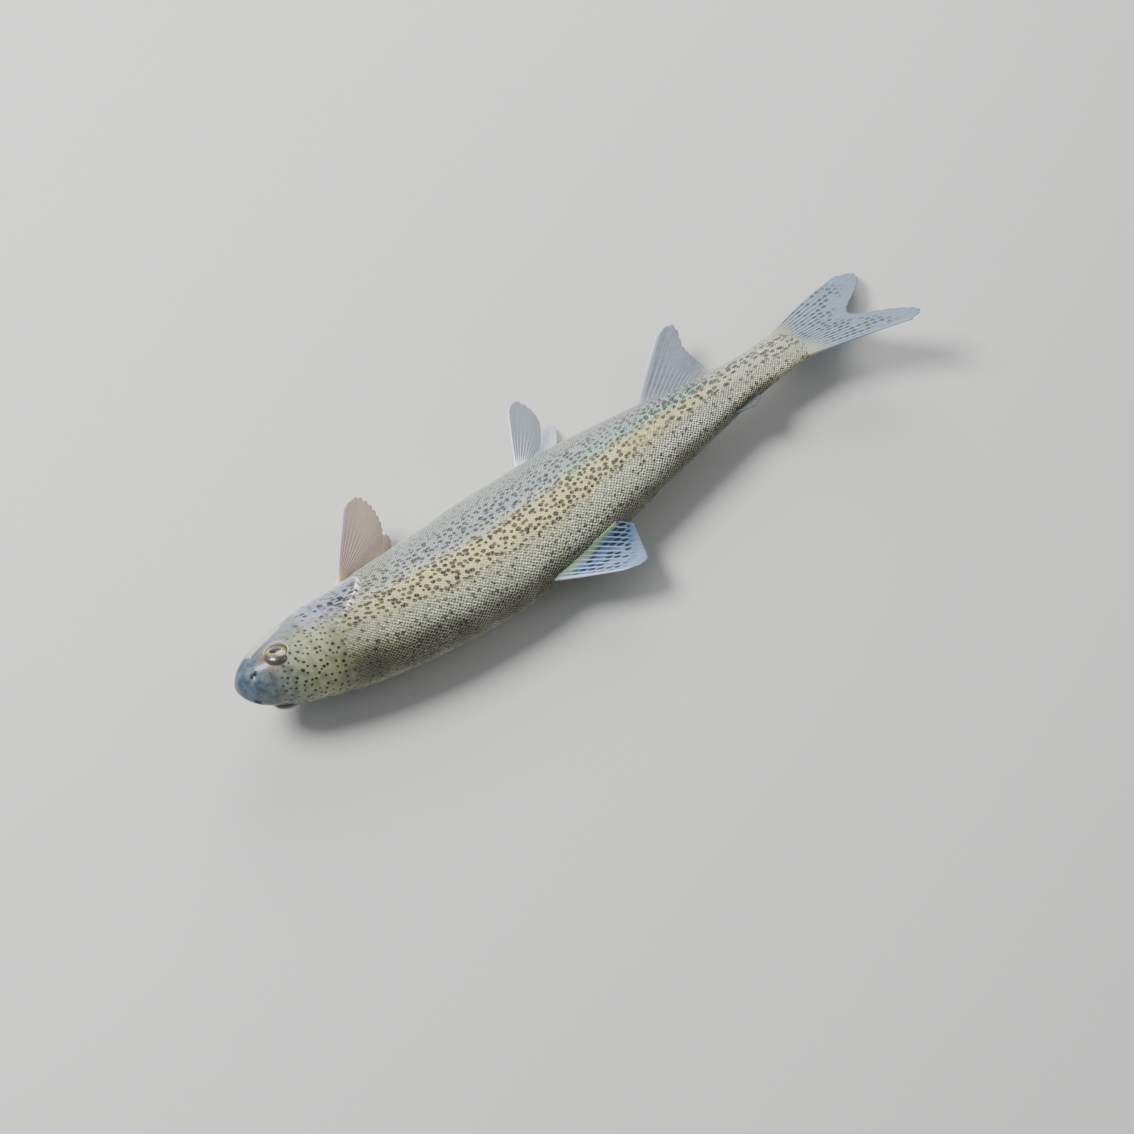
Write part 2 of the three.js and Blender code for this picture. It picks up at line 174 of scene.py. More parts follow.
back_line = curve_through([[0, 0.025], [0.032, 0.037], [0.062, 0.0512], [0.15, 0.0796],
    [0.28, 0.1009], [0.4, 0.107], [0.55, 0.0971], [0.73, 0.07], [0.87, 0.051], [0.93, 0.047],
    [1.03, 0.054]])
belly_line = curve_through([[0, 0.026], [0.032, 0.039], [0.062, 0.0545], [0.15, 0.087],
    [0.28, 0.0935], [0.42, 0.101], [0.6, 0.092], [0.75, 0.073], [0.87, 0.0497], [0.93, 0.0447],
    [1.03, 0.051]])
half_width = curve_through([[0, 0.0315], [0.032, 0.0375], [0.062, 0.046], [0.1, 0.0532],
    [0.16, 0.0603], [0.36, 0.0646], [0.55, 0.0596], [0.73, 0.0429], [0.87, 0.0258], [1, 0.0119],
    [1.03, 0.0095]])
back_squareness = curve_through([[0, 2.5], [0.12, 2.35], [0.3, 2.15], [1.03, 2.1]])
belly_squareness = curve_through([[0, 2.3], [0.12, 1.95], [0.3, 2.1], [1.03, 2.1]])


def section(share, turn):
    """Where the body's outline is, out of the right flank and out of the back.
    Turn 0 is the right flank and a quarter turn the back."""
    nose = np.clip(1 - share / NOSE_ROUNDING, 0, 1)
    tail = np.clip(1 - (FLESH_END - share) / TAIL_ROUNDING, 0, 1)
    ends = np.sqrt(1 - nose ** 2) * np.sqrt(1 - tail ** 2) * LENGTH
    is_back = np.sin(turn) >= 0
    height = np.where(is_back, back_line(share), belly_line(share)) * ends
    power = 2 / np.where(is_back, back_squareness(share), belly_squareness(share))
    across = np.sign(np.cos(turn)) * np.abs(np.cos(turn)) ** power * half_width(share) * ends
    upward = np.sign(np.sin(turn)) * np.abs(np.sin(turn)) ** power * height
    return across, upward


def smooth(low, high, value):
    t = np.clip((value - low) / (high - low), 0, 1)
    return t * t * (3 - 2 * t)


def span(value, begins, full, fades, ends):
    """One between full and fades, nothing before begins and past ends."""
    return smooth(begins, full, value) * (1 - smooth(fades, ends, value))


def near(distance, width):
    return np.exp(-(distance / width) ** 2)


def unit(vectors):
    return vectors / np.linalg.norm(vectors, axis=-1, keepdims=True)


def backbone():
    """The bent backbone, as steps of place, along, right and back."""
    share = np.arange(0, BONE_END + BONE_STEP / 2, BONE_STEP)
    head = np.maximum(0, 1 - share / HEAD_BEND["until"])
    tail = np.maximum(0, (share - TAIL_BEND["from"]) / (1 - TAIL_BEND["from"]))
    fin = np.clip((share - FIN_BEND["from"]) / (FIN_BEND["until"] - FIN_BEND["from"]), 0, 1)
    slope = -np.radians(HEAD_BEND["lift"] * head)
    turn = np.radians(HEAD_BEND["nod"] * head + TAIL_BEND["nod"] * tail + FIN_BEND["turn"] * fin)
    roll = np.radians(ROLL + HEAD_BEND["roll"] * head + TAIL_BEND["roll"] * tail)[:, None]
    along = np.stack([np.cos(slope) * np.cos(turn), np.cos(slope) * np.sin(turn), np.sin(slope)], 1)
    level = np.stack([-np.sin(turn), np.cos(turn), 0 * turn], 1)
    upright = np.cross(along, level)
    back = -np.cos(roll) * level + np.sin(roll) * upright
    right = np.cos(roll) * upright + np.sin(roll) * level
    travelled = np.cumsum(along * BONE_STEP * LENGTH, axis=0)
    place = np.concatenate([np.zeros((1, 3)), travelled[:-1]]) + SNOUT_AT
    return share, place, along, right, back


bone_share, *bone_frame = backbone()


def posed(points):
    """Points of the straight fish (along, right, back) in metres, moved into its pose."""
    points = np.asarray(points, float)
    share = points[..., 0] / LENGTH
    place, along, right, back = [
        np.stack([np.interp(share, bone_share, part[:, k]) for k in range(3)], -1) for part in bone_frame
    ]
    ahead = np.minimum(0, points[..., 0])[..., None]
    return place + along * ahead + right * points[..., 1:2] + back * points[..., 2:3]


def ring_shares():
    angles = np.linspace(0, math.pi / 2, NOSE_RINGS + 1)[1:]
    shares = list(NOSE_ROUNDING * (1 - np.cos(angles)))
    ring_step = curve_through(RING_STEPS)
    while shares[-1] < FLESH_END - TAIL_ROUNDING:
        shares.append(shares[-1] + float(ring_step(shares[-1])) / LENGTH)
    last = shares[-1]
    for i in range(1, TAIL_RINGS + 1):
        shares.append(last + (FLESH_END - last) * math.sin(i / (TAIL_RINGS + 1) * math.pi / 2))
    return np.array(shares)


def girth_run(share):
    """Turns round one ring, from the belly up the right flank and over the back, and how far
    round each of them is."""
    turns = np.linspace(-math.pi / 2, 1.5 * math.pi, GIRTH_SAMPLES)
    across, upward = section(share, turns)
    return turns, np.concatenate([[0], np.cumsum(np.hypot(np.diff(across), np.diff(upward)))])


# Where the head's bones and openings are, seen from the side, in shares of the body's length.
EYE = {"along": 0.061, "up": 0.018, "radius": 0.009, "half_depth": 0.0046, "sunk": 0.0038}
EYE_OPENING = 0.0070
EYE_POCKET = 0.0044
GILL_COVER = [[0.121, 0.036], [0.113, 0], [0.122, -0.042], [0.158, -0.074], [0.199, -0.073],
              [0.227, -0.055], [0.229, -0.034], [0.201, -0.001], [0.172, 0.025], [0.145, 0.041]]
JAW_BONE = [[0.026, -0.0155], [0.06, -0.0285], [0.088, -0.0435], [0.097, -0.044],
            [0.099, -0.037], [0.092, -0.0275], [0.062, -0.0135], [0.03, -0.005]]
MOUTH = [[-0.02, -0.006], [0.026, -0.0175], [0.06, -0.0305], [0.088, -0.0455], [0.12, -0.062]]
MOUTH_CORNER = (0.086, 0.096)
MOUTH_SLANT = 0.93                 # of a height, across the mouth's line
CHEEK_BONE = [[0.152, 0.044], [0.149, 0.012], [0.15, -0.02], [0.141, -0.046], [0.118, -0.058],
              [0.098, -0.052]]
LOWER_COVER_SEAM = [[0.15, -0.03], [0.178, -0.037], [0.205, -0.031], [0.222, -0.02]]
NOSTRILS = [[0.0168, 0.0196, 0.0009], [0.0212, 0.0217, 0.0011]]
NOSTRIL_DEPTH = 0.0013
NOSTRIL_RIM = 1.7                  # of the nostril's size, from its middle
VENT_ALONG = 0.742
# Where along the body each begins, is full, fades and ends.
UNDER_JAW = (0.02, 0.04, 0.1, 0.125)
THROAT = (0.09, 0.11, 0.175, 0.2)
GILL_SLIT = (0.105, 0.115, 0.17, 0.2)
THROAT_RAYS = {"height": 0.28, "apart": 2.4, "slant": 30, "girth": (5, 8, 24, 30)}
# Ridges and, where the height is less than nothing, grooves: how high they are, how far off the
# line that they follow, and how wide, in millimetres.
RELIEFS = {
    "eye_rim": (0.55, 0.8, 0.75), "eye_fold": (-0.25, 11, 0.9),
    "gape": (-2.1, 0, 0.55), "upper_lip": (0.5, 1.7, 1.1), "lower_lip": (0.55, -1.8, 1.2),
    "jaw_bone_seam": (-0.45, -0.5, 0.5), "jaw_edge": (-0.8, 0, 0.9746),
    "cover_gap": (-1.9, -0.7, 0.65), "behind_cover": (-0.6, 0, 3.2), "cover_hinge": (-0.3, 0, 0.8),
    "cover_swell": (0.3, 2.6, 2.0), "cheek_seam": (-0.5, 0, 0.6), "cheek_swell": (0.3, 1.6, 1.1),
    "cover_seam": (-0.4, 0, 0.55), "gill_slit": (-1.2, 0, 0.7), "nostril_rim": (0.3, 0, 0.5),
    "vent_rim": (0.9, 1.8, 1.0), "vent": (-0.9, 0, 0.9),
}


def closed_spline(points, samples):
    """A closed smooth outline through points, run through them evenly."""
    points = np.array(points)
    count = len(points)
    outline = []
    for sample in range(samples):
        i, t = divmod(sample * count / samples, 1)
        p = [points[(int(i) + k) % count] for k in (-1, 0, 1, 2)]
        outline.append(0.5 * (2 * p[1] + (p[2] - p[0]) * t + (2 * p[0] - 5 * p[1] + 4 * p[2] - p[3]) * t * t
                              + (3 * p[1] - p[0] - 3 * p[2] + p[3]) * t ** 3))
    return np.array(outline)


def from_line(x, z, line):
    """Distance to an open line seen from the side, in metres."""
    line = np.array(line)
    best = np.full(x.shape, 9.0)
    for (x0, z0), (x1, z1) in zip(line[:-1], line[1:]):
        run = (x1 - x0) ** 2 + (z1 - z0) ** 2
        t = np.clip(((x - x0) * (x1 - x0) + (z - z0) * (z1 - z0)) / run, 0, 1)
        best = np.minimum(best, np.hypot(x - x0 - t * (x1 - x0), z - z0 - t * (z1 - z0)))
    return best * LENGTH


def inside_outline(x, z, outline):
    """Distance inside a closed outline (less than nothing outside), in metres."""
    outline = np.array(outline)
    closed = np.concatenate([outline, outline[:1]])
    within = np.zeros(x.shape, bool)
    for (x0, z0), (x1, z1) in zip(closed[:-1], closed[1:]):
        crosses = (z0 > z) != (z1 > z)
        rise = z1 - z0 if z1 != z0 else 1.0
        within ^= crosses & (x < (x1 - x0) * (z - z0) / rise + x0)
    return from_line(x, z, closed) * np.where(within, 1, -1)


cover_outline = closed_spline(GILL_COVER, 54)
mouth_height = curve_through(MOUTH)


def ridge(name, distance):
    height, offset, width = RELIEFS[name]
    return height * MM * near(distance - offset * MM, width * MM)


def head_relief(x, z, girth):
    """How far the skin stands out of its plain form, in metres. x and z are shares seen from
    the side, and girth is the distance round from the belly's middle line."""
    from_eye = np.hypot(x - EYE["along"], z - EYE["up"]) * LENGTH
    relief = -EYE_POCKET * (1 - smooth(EYE_OPENING - 0.5 * MM, EYE_OPENING + 0.25 * MM, from_eye))
    relief += ridge("eye_rim", from_eye - EYE_OPENING) + ridge("eye_fold", from_eye) * (z < EYE["up"])

    from_mouth = (z - mouth_height(x)) * LENGTH * MOUTH_SLANT
    for name in ("gape", "upper_lip", "lower_lip"):
        relief += ridge(name, from_mouth) * (1 - smooth(*MOUTH_CORNER, x))
    in_jaw_bone = inside_outline(x, z, JAW_BONE)
    relief += 0.55 * MM * smooth(-0.1 * MM, 0.9 * MM, in_jaw_bone) + ridge("jaw_bone_seam", in_jaw_bone)
    jaw_edge = (0.010 + 0.10 * x) * LENGTH
    relief += ridge("jaw_edge", girth - jaw_edge) * (z < -0.025) * span(x, *UNDER_JAW)

    in_cover = inside_outline(x, z, cover_outline)
    free_edge = np.maximum(smooth(0.15, 0.185, x), smooth(-0.045, -0.06, z))
    relief += (ridge("cover_gap", in_cover) + ridge("cover_swell", in_cover)) * free_edge
    relief += ridge("behind_cover", np.minimum(0, in_cover + 0.7 * MM)) * free_edge * (in_cover < 0)
    relief += ridge("cover_hinge", in_cover) * (1 - free_edge)
    cheek = from_line(x, z, CHEEK_BONE)
    relief += ridge("cheek_seam", cheek) + ridge("cheek_swell", cheek)
    relief += ridge("cover_seam", from_line(x, z, LOWER_COVER_SEAM))

    rays = span(girth / MM, *THROAT_RAYS["girth"]) * span(x, *THROAT) * (in_cover < -0.8 * MM)
    wave = girth / (THROAT_RAYS["apart"] * MM) * 2 * math.pi + THROAT_RAYS["slant"] * x
    relief += THROAT_RAYS["height"] * MM * rays * np.cos(wave)
    relief += ridge("gill_slit", girth - (x - 0.108) * 0.25) * span(x, *GILL_SLIT)
    for along, up, size in NOSTRILS:
        from_nostril = np.hypot(x - along, z - up) * LENGTH
        relief += ridge("nostril_rim", from_nostril - NOSTRIL_RIM * size)
        relief -= NOSTRIL_DEPTH * near(from_nostril, size)
    from_vent = np.hypot((x - VENT_ALONG) * LENGTH, girth)
    return relief + ridge("vent_rim", from_vent) + ridge("vent", from_vent)


def store(mesh, name, values):
    """Keeps one number or one vector for each point of a mesh, for its material to read."""
    values = np.asarray(values, np.float32)
    is_vector = values.shape[-1] == 3 and values.ndim == 2
    kept = mesh.attributes.new(name, "FLOAT_VECTOR" if is_vector else "FLOAT", "POINT")
    kept.data.foreach_set("vector" if is_vector else "value", values.ravel())


def skin_grid():
    """The straight skin before and after its relief, its rings' shares, and its chart: along
    the body and round it from the ridge of the back, as if the skin were laid flat."""
    shares = ring_shares()
    parts = np.arange(GIRTH_POINTS) / GIRTH_POINTS
    ring_runs = [girth_run(share) for share in shares]
    turns = np.stack([np.interp(parts, run / run[-1], fine) for fine, run in ring_runs])
    girths = np.array([run[-1] for fine, run in ring_runs])
    share_grid = np.repeat(shares[:, None], GIRTH_POINTS, 1)
    across, upward = section(share_grid, turns)
    plain = np.stack([share_grid * LENGTH, across, upward], -1)
    ring_run = np.roll(plain, -1, 1) - np.roll(plain, 1, 1)
    outward = unit(np.cross(ring_run, np.gradient(plain, axis=0)))
    girth = np.minimum(parts, 1 - parts)[None, :] * girths[:, None]
    relief = head_relief(share_grid, upward / LENGTH, girth)
    inset = BARE_DEPTH + (COAT_DEPTH - BARE_DEPTH) * smooth(*NAPE, share_grid)
    chart = np.stack([plain[..., 0], (parts - 0.5) * girths[:, None], 0 * share_grid], -1)
    return plain, plain + outward * (relief - inset)[..., None], shares, chart


def ring_faces(rings, spokes):
    """Faces over rings of points, which the points of their two poles follow."""
    faces = []
    for ring in range(-1, rings):
        first, second = ring * spokes, (ring + 1) * spokes
        for k in range(spokes):
            k_next = (k + 1) % spokes
            if ring < 0:
                faces.append((rings * spokes, k_next, k))
            elif ring == rings - 1:
                faces.append((first + k, first + k_next, rings * spokes + 1))
            else:
                faces.append((first + k, first + k_next, second + k_next, second + k))
    return faces


plain_skin, skin_points, skin_shares, skin_chart = skin_grid()
rings = len(skin_shares)
nose_tip = [0.0, 0.0, -0.003]
tail_tip = [FLESH_END * LENGTH, 0.0, 0.0]
skin_posed = posed(np.concatenate([skin_points.reshape(-1, 3), [nose_tip, tail_tip]]))
skin_posed[:, 2] = np.maximum(skin_posed[:, 2], 0)
skin_faces = ring_faces(rings, GIRTH_POINTS)
skin_mesh = mesh_from("skin", skin_posed, skin_faces)
UNWRAP_LOW = 0.02
UNWRAP_SPAN = 0.96
corner_uv = []
for number, face in enumerate(skin_faces):
    k = number % GIRTH_POINTS
    for point in face:
        ring, step = divmod(point, GIRTH_POINTS)
        if ring == rings:
            corner_uv.append((FLESH_END * step, (k + 0.5) / GIRTH_POINTS))
        else:
            corner_uv.append((skin_shares[ring], (k + (step != k)) / GIRTH_POINTS))
unwrapped = np.array(corner_uv) / (FLESH_END, 1) * UNWRAP_SPAN + UNWRAP_LOW
unwrap = skin_mesh.uv_layers.new(name="OFBake")
unwrap.data.foreach_set("uv", unwrapped.astype(np.float32).ravel())


def rise_of(points):
    """How far up the back (to 1) or down the belly (to -1) points of the straight fish are."""
    share = points[..., 0] / LENGTH
    up = points[..., 2] / LENGTH
    return up / np.where(up > 0, back_line(share), belly_line(share))


IN_MM = 1000
MOUTH_FADE = 0.02                  # how far the mouth's line is put off behind its corner
plain_all = np.concatenate([plain_skin.reshape(-1, 3), [nose_tip, tail_tip]])
side_x = plain_all[:, 0] / LENGTH
side_z = plain_all[:, 2] / LENGTH
mouth_line = np.abs(side_z - mouth_height(side_x)) * LENGTH
for name, values in {
    "place": plain_all,
    "chart": np.concatenate([skin_chart.reshape(-1, 3), [[0, 0, 0], tail_tip]]),
    "cover": inside_outline(side_x, side_z, cover_outline),
    "mouth": mouth_line + MOUTH_FADE * smooth(0.09, 0.1, side_x),
    "eye": np.hypot(side_x - EYE["along"], side_z - EYE["up"]) * LENGTH,
    "jaw_bone": inside_outline(side_x, side_z, JAW_BONE),
    "seam": from_line(side_x, side_z, CHEEK_BONE),
}.items():
    store(skin_mesh, name, values * IN_MM)
store(skin_mesh, "rise", rise_of(plain_all))
nostril_line = np.min([np.hypot(side_x - x, side_z - z) / size for x, z, size in NOSTRILS], axis=0)
store(skin_mesh, "nostril", nostril_line * LENGTH)


class Wire:
    """A socket of a node tree that is reckoned with as a number is, by adding Math nodes."""

    def __init__(self, tree, socket=None):
        self.tree = tree
        self.socket = socket

    def node(self, kind, inputs=(), output=0, **settings):
        made = self.tree.nodes.new(kind)
        for name, value in settings.items():
            setattr(made, name, value)
        for key, value in dict(inputs).items():
            if isinstance(value, Wire):
                self.tree.links.new(value.socket, made.inputs[key])
            else:
                made.inputs[key].default_value = value
        return Wire(self.tree, made.outputs[output])

    def output(self, name):
        """Another output of the same node."""
        return Wire(self.tree, self.socket.node.outputs[name])

    def part(self, axis):
        return self.node("ShaderNodeSeparateXYZ", {0: self}, output=axis)

    def math(self, operation, *others):
        return self.node("ShaderNodeMath", enumerate((self, *others)), operation=operation)

    def vector_math(self, operation, other):
        return self.node("ShaderNodeVectorMath", {0: self, 1: other}, operation=operation)

    def __add__(self, other):
        return self.math("ADD", other)

    def __sub__(self, other):
        return self.math("SUBTRACT", other)

    def __rsub__(self, other):
        return self.node("ShaderNodeMath", {0: other, 1: self}, operation="SUBTRACT")

    def __mul__(self, other):
        return self.math("MULTIPLY", other)

    def __truediv__(self, other):
        return self.math("DIVIDE", other)

    __radd__ = __add__
    __rmul__ = __mul__

    def between(self, low, high):
        """Nothing below low, one above high, smooth from one to the other."""
        return self.node("ShaderNodeMapRange", {0: self, 1: low, 2: high}, interpolation_type="SMOOTHSTEP")

    def band(self, begins, full, fades, ends):
        """One between full and fades, nothing before begins and past ends."""
        return self.between(begins, full) * (1 - self.between(fades, ends))

    def mixed(self, under, over):
        """The colour under, or over where this number is one."""
        return self.node("ShaderNodeMix", {0: self, 6: under, 7: over}, output=2, data_type="RGBA")

    def scaled(self, factor):
        return self.node("ShaderNodeVectorMath", {0: self, "Scale": factor}, operation="SCALE")

    def bump(self, strength, distance):
        return self.node("ShaderNodeBump", {"Strength": strength, "Distance": distance, "Height": self})

    def noise(self, size, detail=2.0, roughness=0.5):
        """Cloudy variation from 0 to 1 over this vector, with lumps of about this size."""
        return self.node("ShaderNodeTexNoise", {
            "Vector": self, "Scale": 1 / size, "Detail": detail, "Roughness": roughness})

    def attribute(self, name, output="Fac"):
        return self.node("ShaderNodeAttribute", output=output, attribute_name=name)

    def spots(self, apart, radius, share, longer, ragged, soft):
        """Roundish spots scattered over this chart, in millimetres."""
        flat = self.vector_math("MULTIPLY", (1 / longer, 1, 0))
        warp = flat.node("ShaderNodeTexNoise", {"Vector": flat, "Scale": SPOT_WARP / apart},
                         output="Color", noise_dimensions="2D")
        warp = warp.vector_math("SUBTRACT", (0.5, 0.5, 0.5))
        moved = flat.vector_math("ADD", warp.scaled(2 * ragged * apart))
        cells = {"Vector": moved, "Scale": 1 / apart, "Randomness": SPOT_SCATTER}
        distance = self.node("ShaderNodeTexVoronoi", cells, output="Distance", voronoi_dimensions="2D")
        chance = distance.output("Color")
        edge = (chance.part("Y") * SPOT_LARGER + SPOT_LEAST) * (radius / apart)
        return (1 - (distance / edge).between(1 - soft, 1 + soft)) * chance.part("X").math("LESS_THAN", share)


def feed(shader, socket, wire):
    wire.tree.links.new(wire.socket, shader.inputs[socket])


def painted(ground, coats, areas):
    """The ground, with each coat of colour laid over it in the area of the same name."""
    for name, (red, green, blue, share) in coats.items():
        ground = (areas[name] * share).mixed(ground, colour(red, green, blue))
    return ground


# Spots: how unevenly they lie and are warped, and their sizes, as shares of a usual radius.
SPOT_SCATTER = 0.68
SPOT_WARP = 1.6
SPOT_LEAST = 0.7
SPOT_LARGER = 0.55
# Each kind: how far apart, its radius, its share of the places, how much longer than wide, how
# ragged and how soft it is, and the heights it keeps to, from the belly (-1) to the ridge (1).
# Heights of 2 and 3 lie past the ridge, so a kind with them has no upper end.
SPOTS = {
    "gold": (3.7, 1.4, 0.97, 1.2, 0.13, 0.16, (0.10, 0.2, 0.58, 0.7)),
    "back": (4.6, 1.0, 0.7, 1.2, 0.2, 0.22, (0.5, 0.62, 2, 3)),
    "stalk": (4.6, 1.55, 0.94, 1.4, 0.2, 0.22, (-0.3, -0.05, 0.55, 0.85)),
    "low": (3.4, 1.15, 0.97, 1.5, 0.2, 0.22, (-0.5, -0.25, 0.14, 0.22)),
    "side": (3.8, 0.9, 0.85, 1.2, 0.2, 0.22, (-0.9, -0.65, -0.45, -0.2)),
    "head": (4.1, 0.9, 0.9, 1.0, 0.12, 0.22, (-0.05, 0.2, 2, 3)),
    "cover": (6.2, 1.5, 0.85, 1.0, 0.1, 0.22, (-0.55, -0.25, -0.05, 0.2)),
}
# The heights where each band of colour along the flank begins, is full, fades and ends.
# The edge band is partly the pale line below the gold band, partly a painted highlight where the flank faces
# the sky.
BANDS = {"gold": (0.04, 0.22, 0.44, 0.80), "edge": (-0.02, 0.08, 0.12, 0.26),
         "lilac": (-0.42, -0.26, 0.04, 0.18), "mint": (-0.14, 0.06, 0.12, 0.34)}
# How far from the snout, in millimetres, each part of the body begins or ends.
REACHES = {"nape": (64, 96), "front": (70, 150), "stalk": (280, 350), "tail": (350, 420)}
# The colours between the scales' middles (pale) and of their middles (dark), by area: red,
# green, blue and how much of it is laid on. Each lies over those before it.
PALE_GROUND = (172, 182, 174)
PALE_COATS = {
    "back": (244, 246, 222, 1), "gold": (234, 228, 162, 1), "lilac": (178, 184, 186, 1),
    "front": (186, 188, 144, 0.6), "nape": (150, 152, 120, 0.7), "tail": (236, 234, 202, 0.7),
    # edge: partly a pale line, partly a painted highlight where the flank faces the sky
    "edge": (250, 250, 232, 0.4), "mint": (158, 226, 192, 0.65), "belly": (238, 236, 228, 1),
    # ridge: painted shade along the ridge of the back, over its own dark olive
    "ridge": (84, 78, 46, 0.9), "smudges": (150, 152, 126, 0.25),
}
DARK_GROUND = (84, 92, 86)
DARK_COATS = {
    "back": (80, 84, 62, 1), "gold": (122, 112, 64, 1), "lilac": (84, 90, 90, 1),
    "front": (64, 68, 48, 0.7), "stalk": (44, 46, 30, 0.85), "belly": (206, 206, 200, 1),
    # ridge: near black, painted shade along the ridge of the back
    "ridge": (8, 7, 3, 1),
}


def markings(wire):
    """The looks that skin and scales share, by the place on the straight fish in millimetres:
    the pale and the dark colour, how strong the net of scales is, the spots and how silvery the
    flank is. Then how far along and how high it is, the place itself and its chart."""
    place = wire.attribute("place", "Vector")
    chart = wire.attribute("chart", "Vector")
    rise = wire.attribute("rise")
    along = place.part("X")
    clouds = place.noise(24, 3) - 0.5
    height = rise + along.between(200, 400) * 0.26 + clouds * 0.2 + (place.noise(5, 3) - 0.5) * 0.12
    areas = {name: height.band(*limits) for name, limits in BANDS.items()}
    areas |= {name: along.between(*limits) for name, limits in REACHES.items()}
    areas["nape"], areas["front"] = 1 - areas["nape"], 1 - areas["front"]
    areas["back"] = height.between(0.52, 0.66)
    areas["belly"] = 1 - height.between(-0.95, -0.66)
    # Partly the back's own darkest olive, partly painted shade where the back's edge turns away from the
    # light.
    areas["ridge"] = (rise + clouds * 0.16).between(0.84, 1.03)
    areas["gold"] *= 1 - areas["tail"] * 0.7
    areas["mint"] *= along.band(225, 285, 350, 410)
    areas["smudges"] = place.noise(6, 3).between(0.4, 0.7)
    pale = painted(colour(*PALE_GROUND), PALE_COATS, areas)
    dark = painted(colour(*DARK_GROUND), DARK_COATS, areas)
    gold, lilac, stalk = areas["gold"], areas["lilac"], areas["stalk"]
    net = (1 - lilac * 0.4) * (1 - gold * 0.3) * (0.75 + 0.25 * areas["back"])
    net = net * (0.8 + 0.2 * along.between(60, 110))

    body = along.between(58, 76)
    strengths = {"gold": (1 - stalk) * body, "back": body * 0.85, "stalk": stalk * body,
                 "low": body * 0.92, "side": body * 0.6,
                 "head": (0.2 + 0.8 * along.between(12, 32)) * (1 - body)}
    spots = 0
    for kind, strength in strengths.items():
        spots += spots_of(kind, chart, height) * strength
    silver = lilac * 0.2 + gold * 0.05 + (1 - height.between(-0.5, -0.3)) * 0.2
    return pale, dark, net, spots.math("MINIMUM", 1.0), silver, along, height, place, chart


def spots_of(kind, chart, height):
    *sizes, limits = SPOTS[kind]
    return chart.spots(*sizes) * height.band(*limits)


# The bare head's colours, first under the tint of the snout and then over it, and then the
# darker and lighter lines over all of the skin.
HEAD_GROUND = (112, 120, 124)
HEAD_COATS = {
    "crown": (136, 138, 104, 1), "cover": (142, 148, 166, 0.8), "crown_mottle": (74, 78, 60, 0.6),
    "side_mottle": (80, 88, 88, 0.6), "nape": (58, 62, 50, 0.5), "blush": (160, 132, 124, 0.5),
    "under_eye": (150, 152, 140, 0.25),
}
SNOUT_PALE, SNOUT_DARK = (78, 92, 106), (32, 46, 60)
FACE_COATS = {
    "before_eye": (126, 92, 70, 0.55), "throat": (214, 214, 212, 1),
    "jaw_bone": (196, 190, 172, 0.55), "seam": (86, 90, 94, 0.35), "rim": (255, 242, 236, 1),
}
SKIN_COATS = {
    # slit: painted shade in the mouth's groove
    "spots": (16, 18, 16, 0.94), "gape": (96, 74, 70, 0.5), "slit": (58, 44, 42, 0.8),
    # nostril: near black, painted shade in the nostrils' pits
    # pocket: near black, painted shade in the socket's gap round the eyeball
    "nostril": (26, 28, 34, 0.9), "orbit": (190, 184, 160, 0.5), "pocket": (24, 23, 21, 0.9),
}
WATER = 1.33                       # index of refraction of the wet film over the fish

skin_finish, skin_shader = new_finish("wet_skin", roughness=0.42, ior=1.34, coat_weight=0.45,
                                      coat_roughness=0.16, coat_ior=WATER)
wire = Wire(skin_finish.node_tree)
pale, dark, net, spots, silver, along, height, place, chart = markings(wire)
cover, mouth, eye, jaw_bone, seam, nostril = [
    wire.attribute(name) for name in ("cover", "mouth", "eye", "jaw_bone", "seam", "nostril")
]
head = 1 - (along - cover.between(-4, 0) * 34).between(60, 80)
mottle = place.noise(5, 4).between(0.35, 0.7)
crown = (height + mottle * 0.15).between(-0.02, 0.42)
cover_spots = spots_of("cover", chart, height) * head * along.between(40, 52)
areas = {
    "crown": crown,
    "cover": cover.between(-2, 2) * (1 - crown),
    "crown_mottle": mottle * crown,
    "side_mottle": mottle * (1 - crown),
    "nape": along.between(44, 62) * height.between(0.3, 0.7),
    "blush": place.noise(7, 3).between(0.5, 0.66) * cover.between(0, 3) * (1 - crown),
    "under_eye": eye.band(7.5, 9, 13, 19) * (1 - height.between(-0.05, 0.25)),
    "before_eye": eye.band(7.0, 8.0, 9.5, 13) * (1 - along.between(20, 24)),
    "throat": 1 - height.between(-0.85, -0.45),
    "jaw_bone": jaw_bone.between(-0.4, 0.6),
    "seam": 1 - seam.between(0.3, 1.1),
    "rim": cover.band(-2.6, -0.8, 0.8, 2.6) * along.between(62, 80) * (1 - height.between(0.1, 0.3)),
    "spots": (spots + cover_spots).math("MINIMUM", 1.0),
    "gape": cover.band(-1.5, -0.9, -0.5, 0.1) * along.between(70, 84),
    # Painted shade along the groove of the mouth.
    "slit": 1 - mouth.between(0.2, 1.0),
    # Painted shade in the nostrils' pits.
    "nostril": 1 - nostril.between(0.5, 1.2),
    "orbit": 1 - eye.between(7.4, 8.4),
    # Painted shade in the socket's gap round the eyeball.
    "pocket": 1 - eye.between(6.6, 7.3),
}
snout_tint = (mottle * 0.7).mixed(colour(*SNOUT_PALE), colour(*SNOUT_DARK))
bare_colour = painted(colour(*HEAD_GROUND), HEAD_COATS, areas)
bare_colour = painted((1 - along.between(2, 50)).mixed(bare_colour, snout_tint), FACE_COATS, areas)
under_scales = (place.noise(2.2, 2) * 0.5 + 0.3).mixed(pale, dark)
feed(skin_shader, "Base Color", painted(head.mixed(under_scales, bare_colour), SKIN_COATS, areas))
feed(skin_shader, "Metallic", silver * 0.5)
feed(skin_shader, "Normal", (place.noise(0.9, 3) * 0.6 + place.noise(3.5, 2)).bump(0.35, 0.0003))
skin_mesh.materials.append(skin_finish)
skin = add_object("skin", skin_mesh)
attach(skin, "root")
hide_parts("head", "lower_jaw", "upper_jaw_right", "upper_jaw_left", "gill_cover_right",
            "gill_cover_left", "trunk_front", "trunk_rear", "tail_stalk")
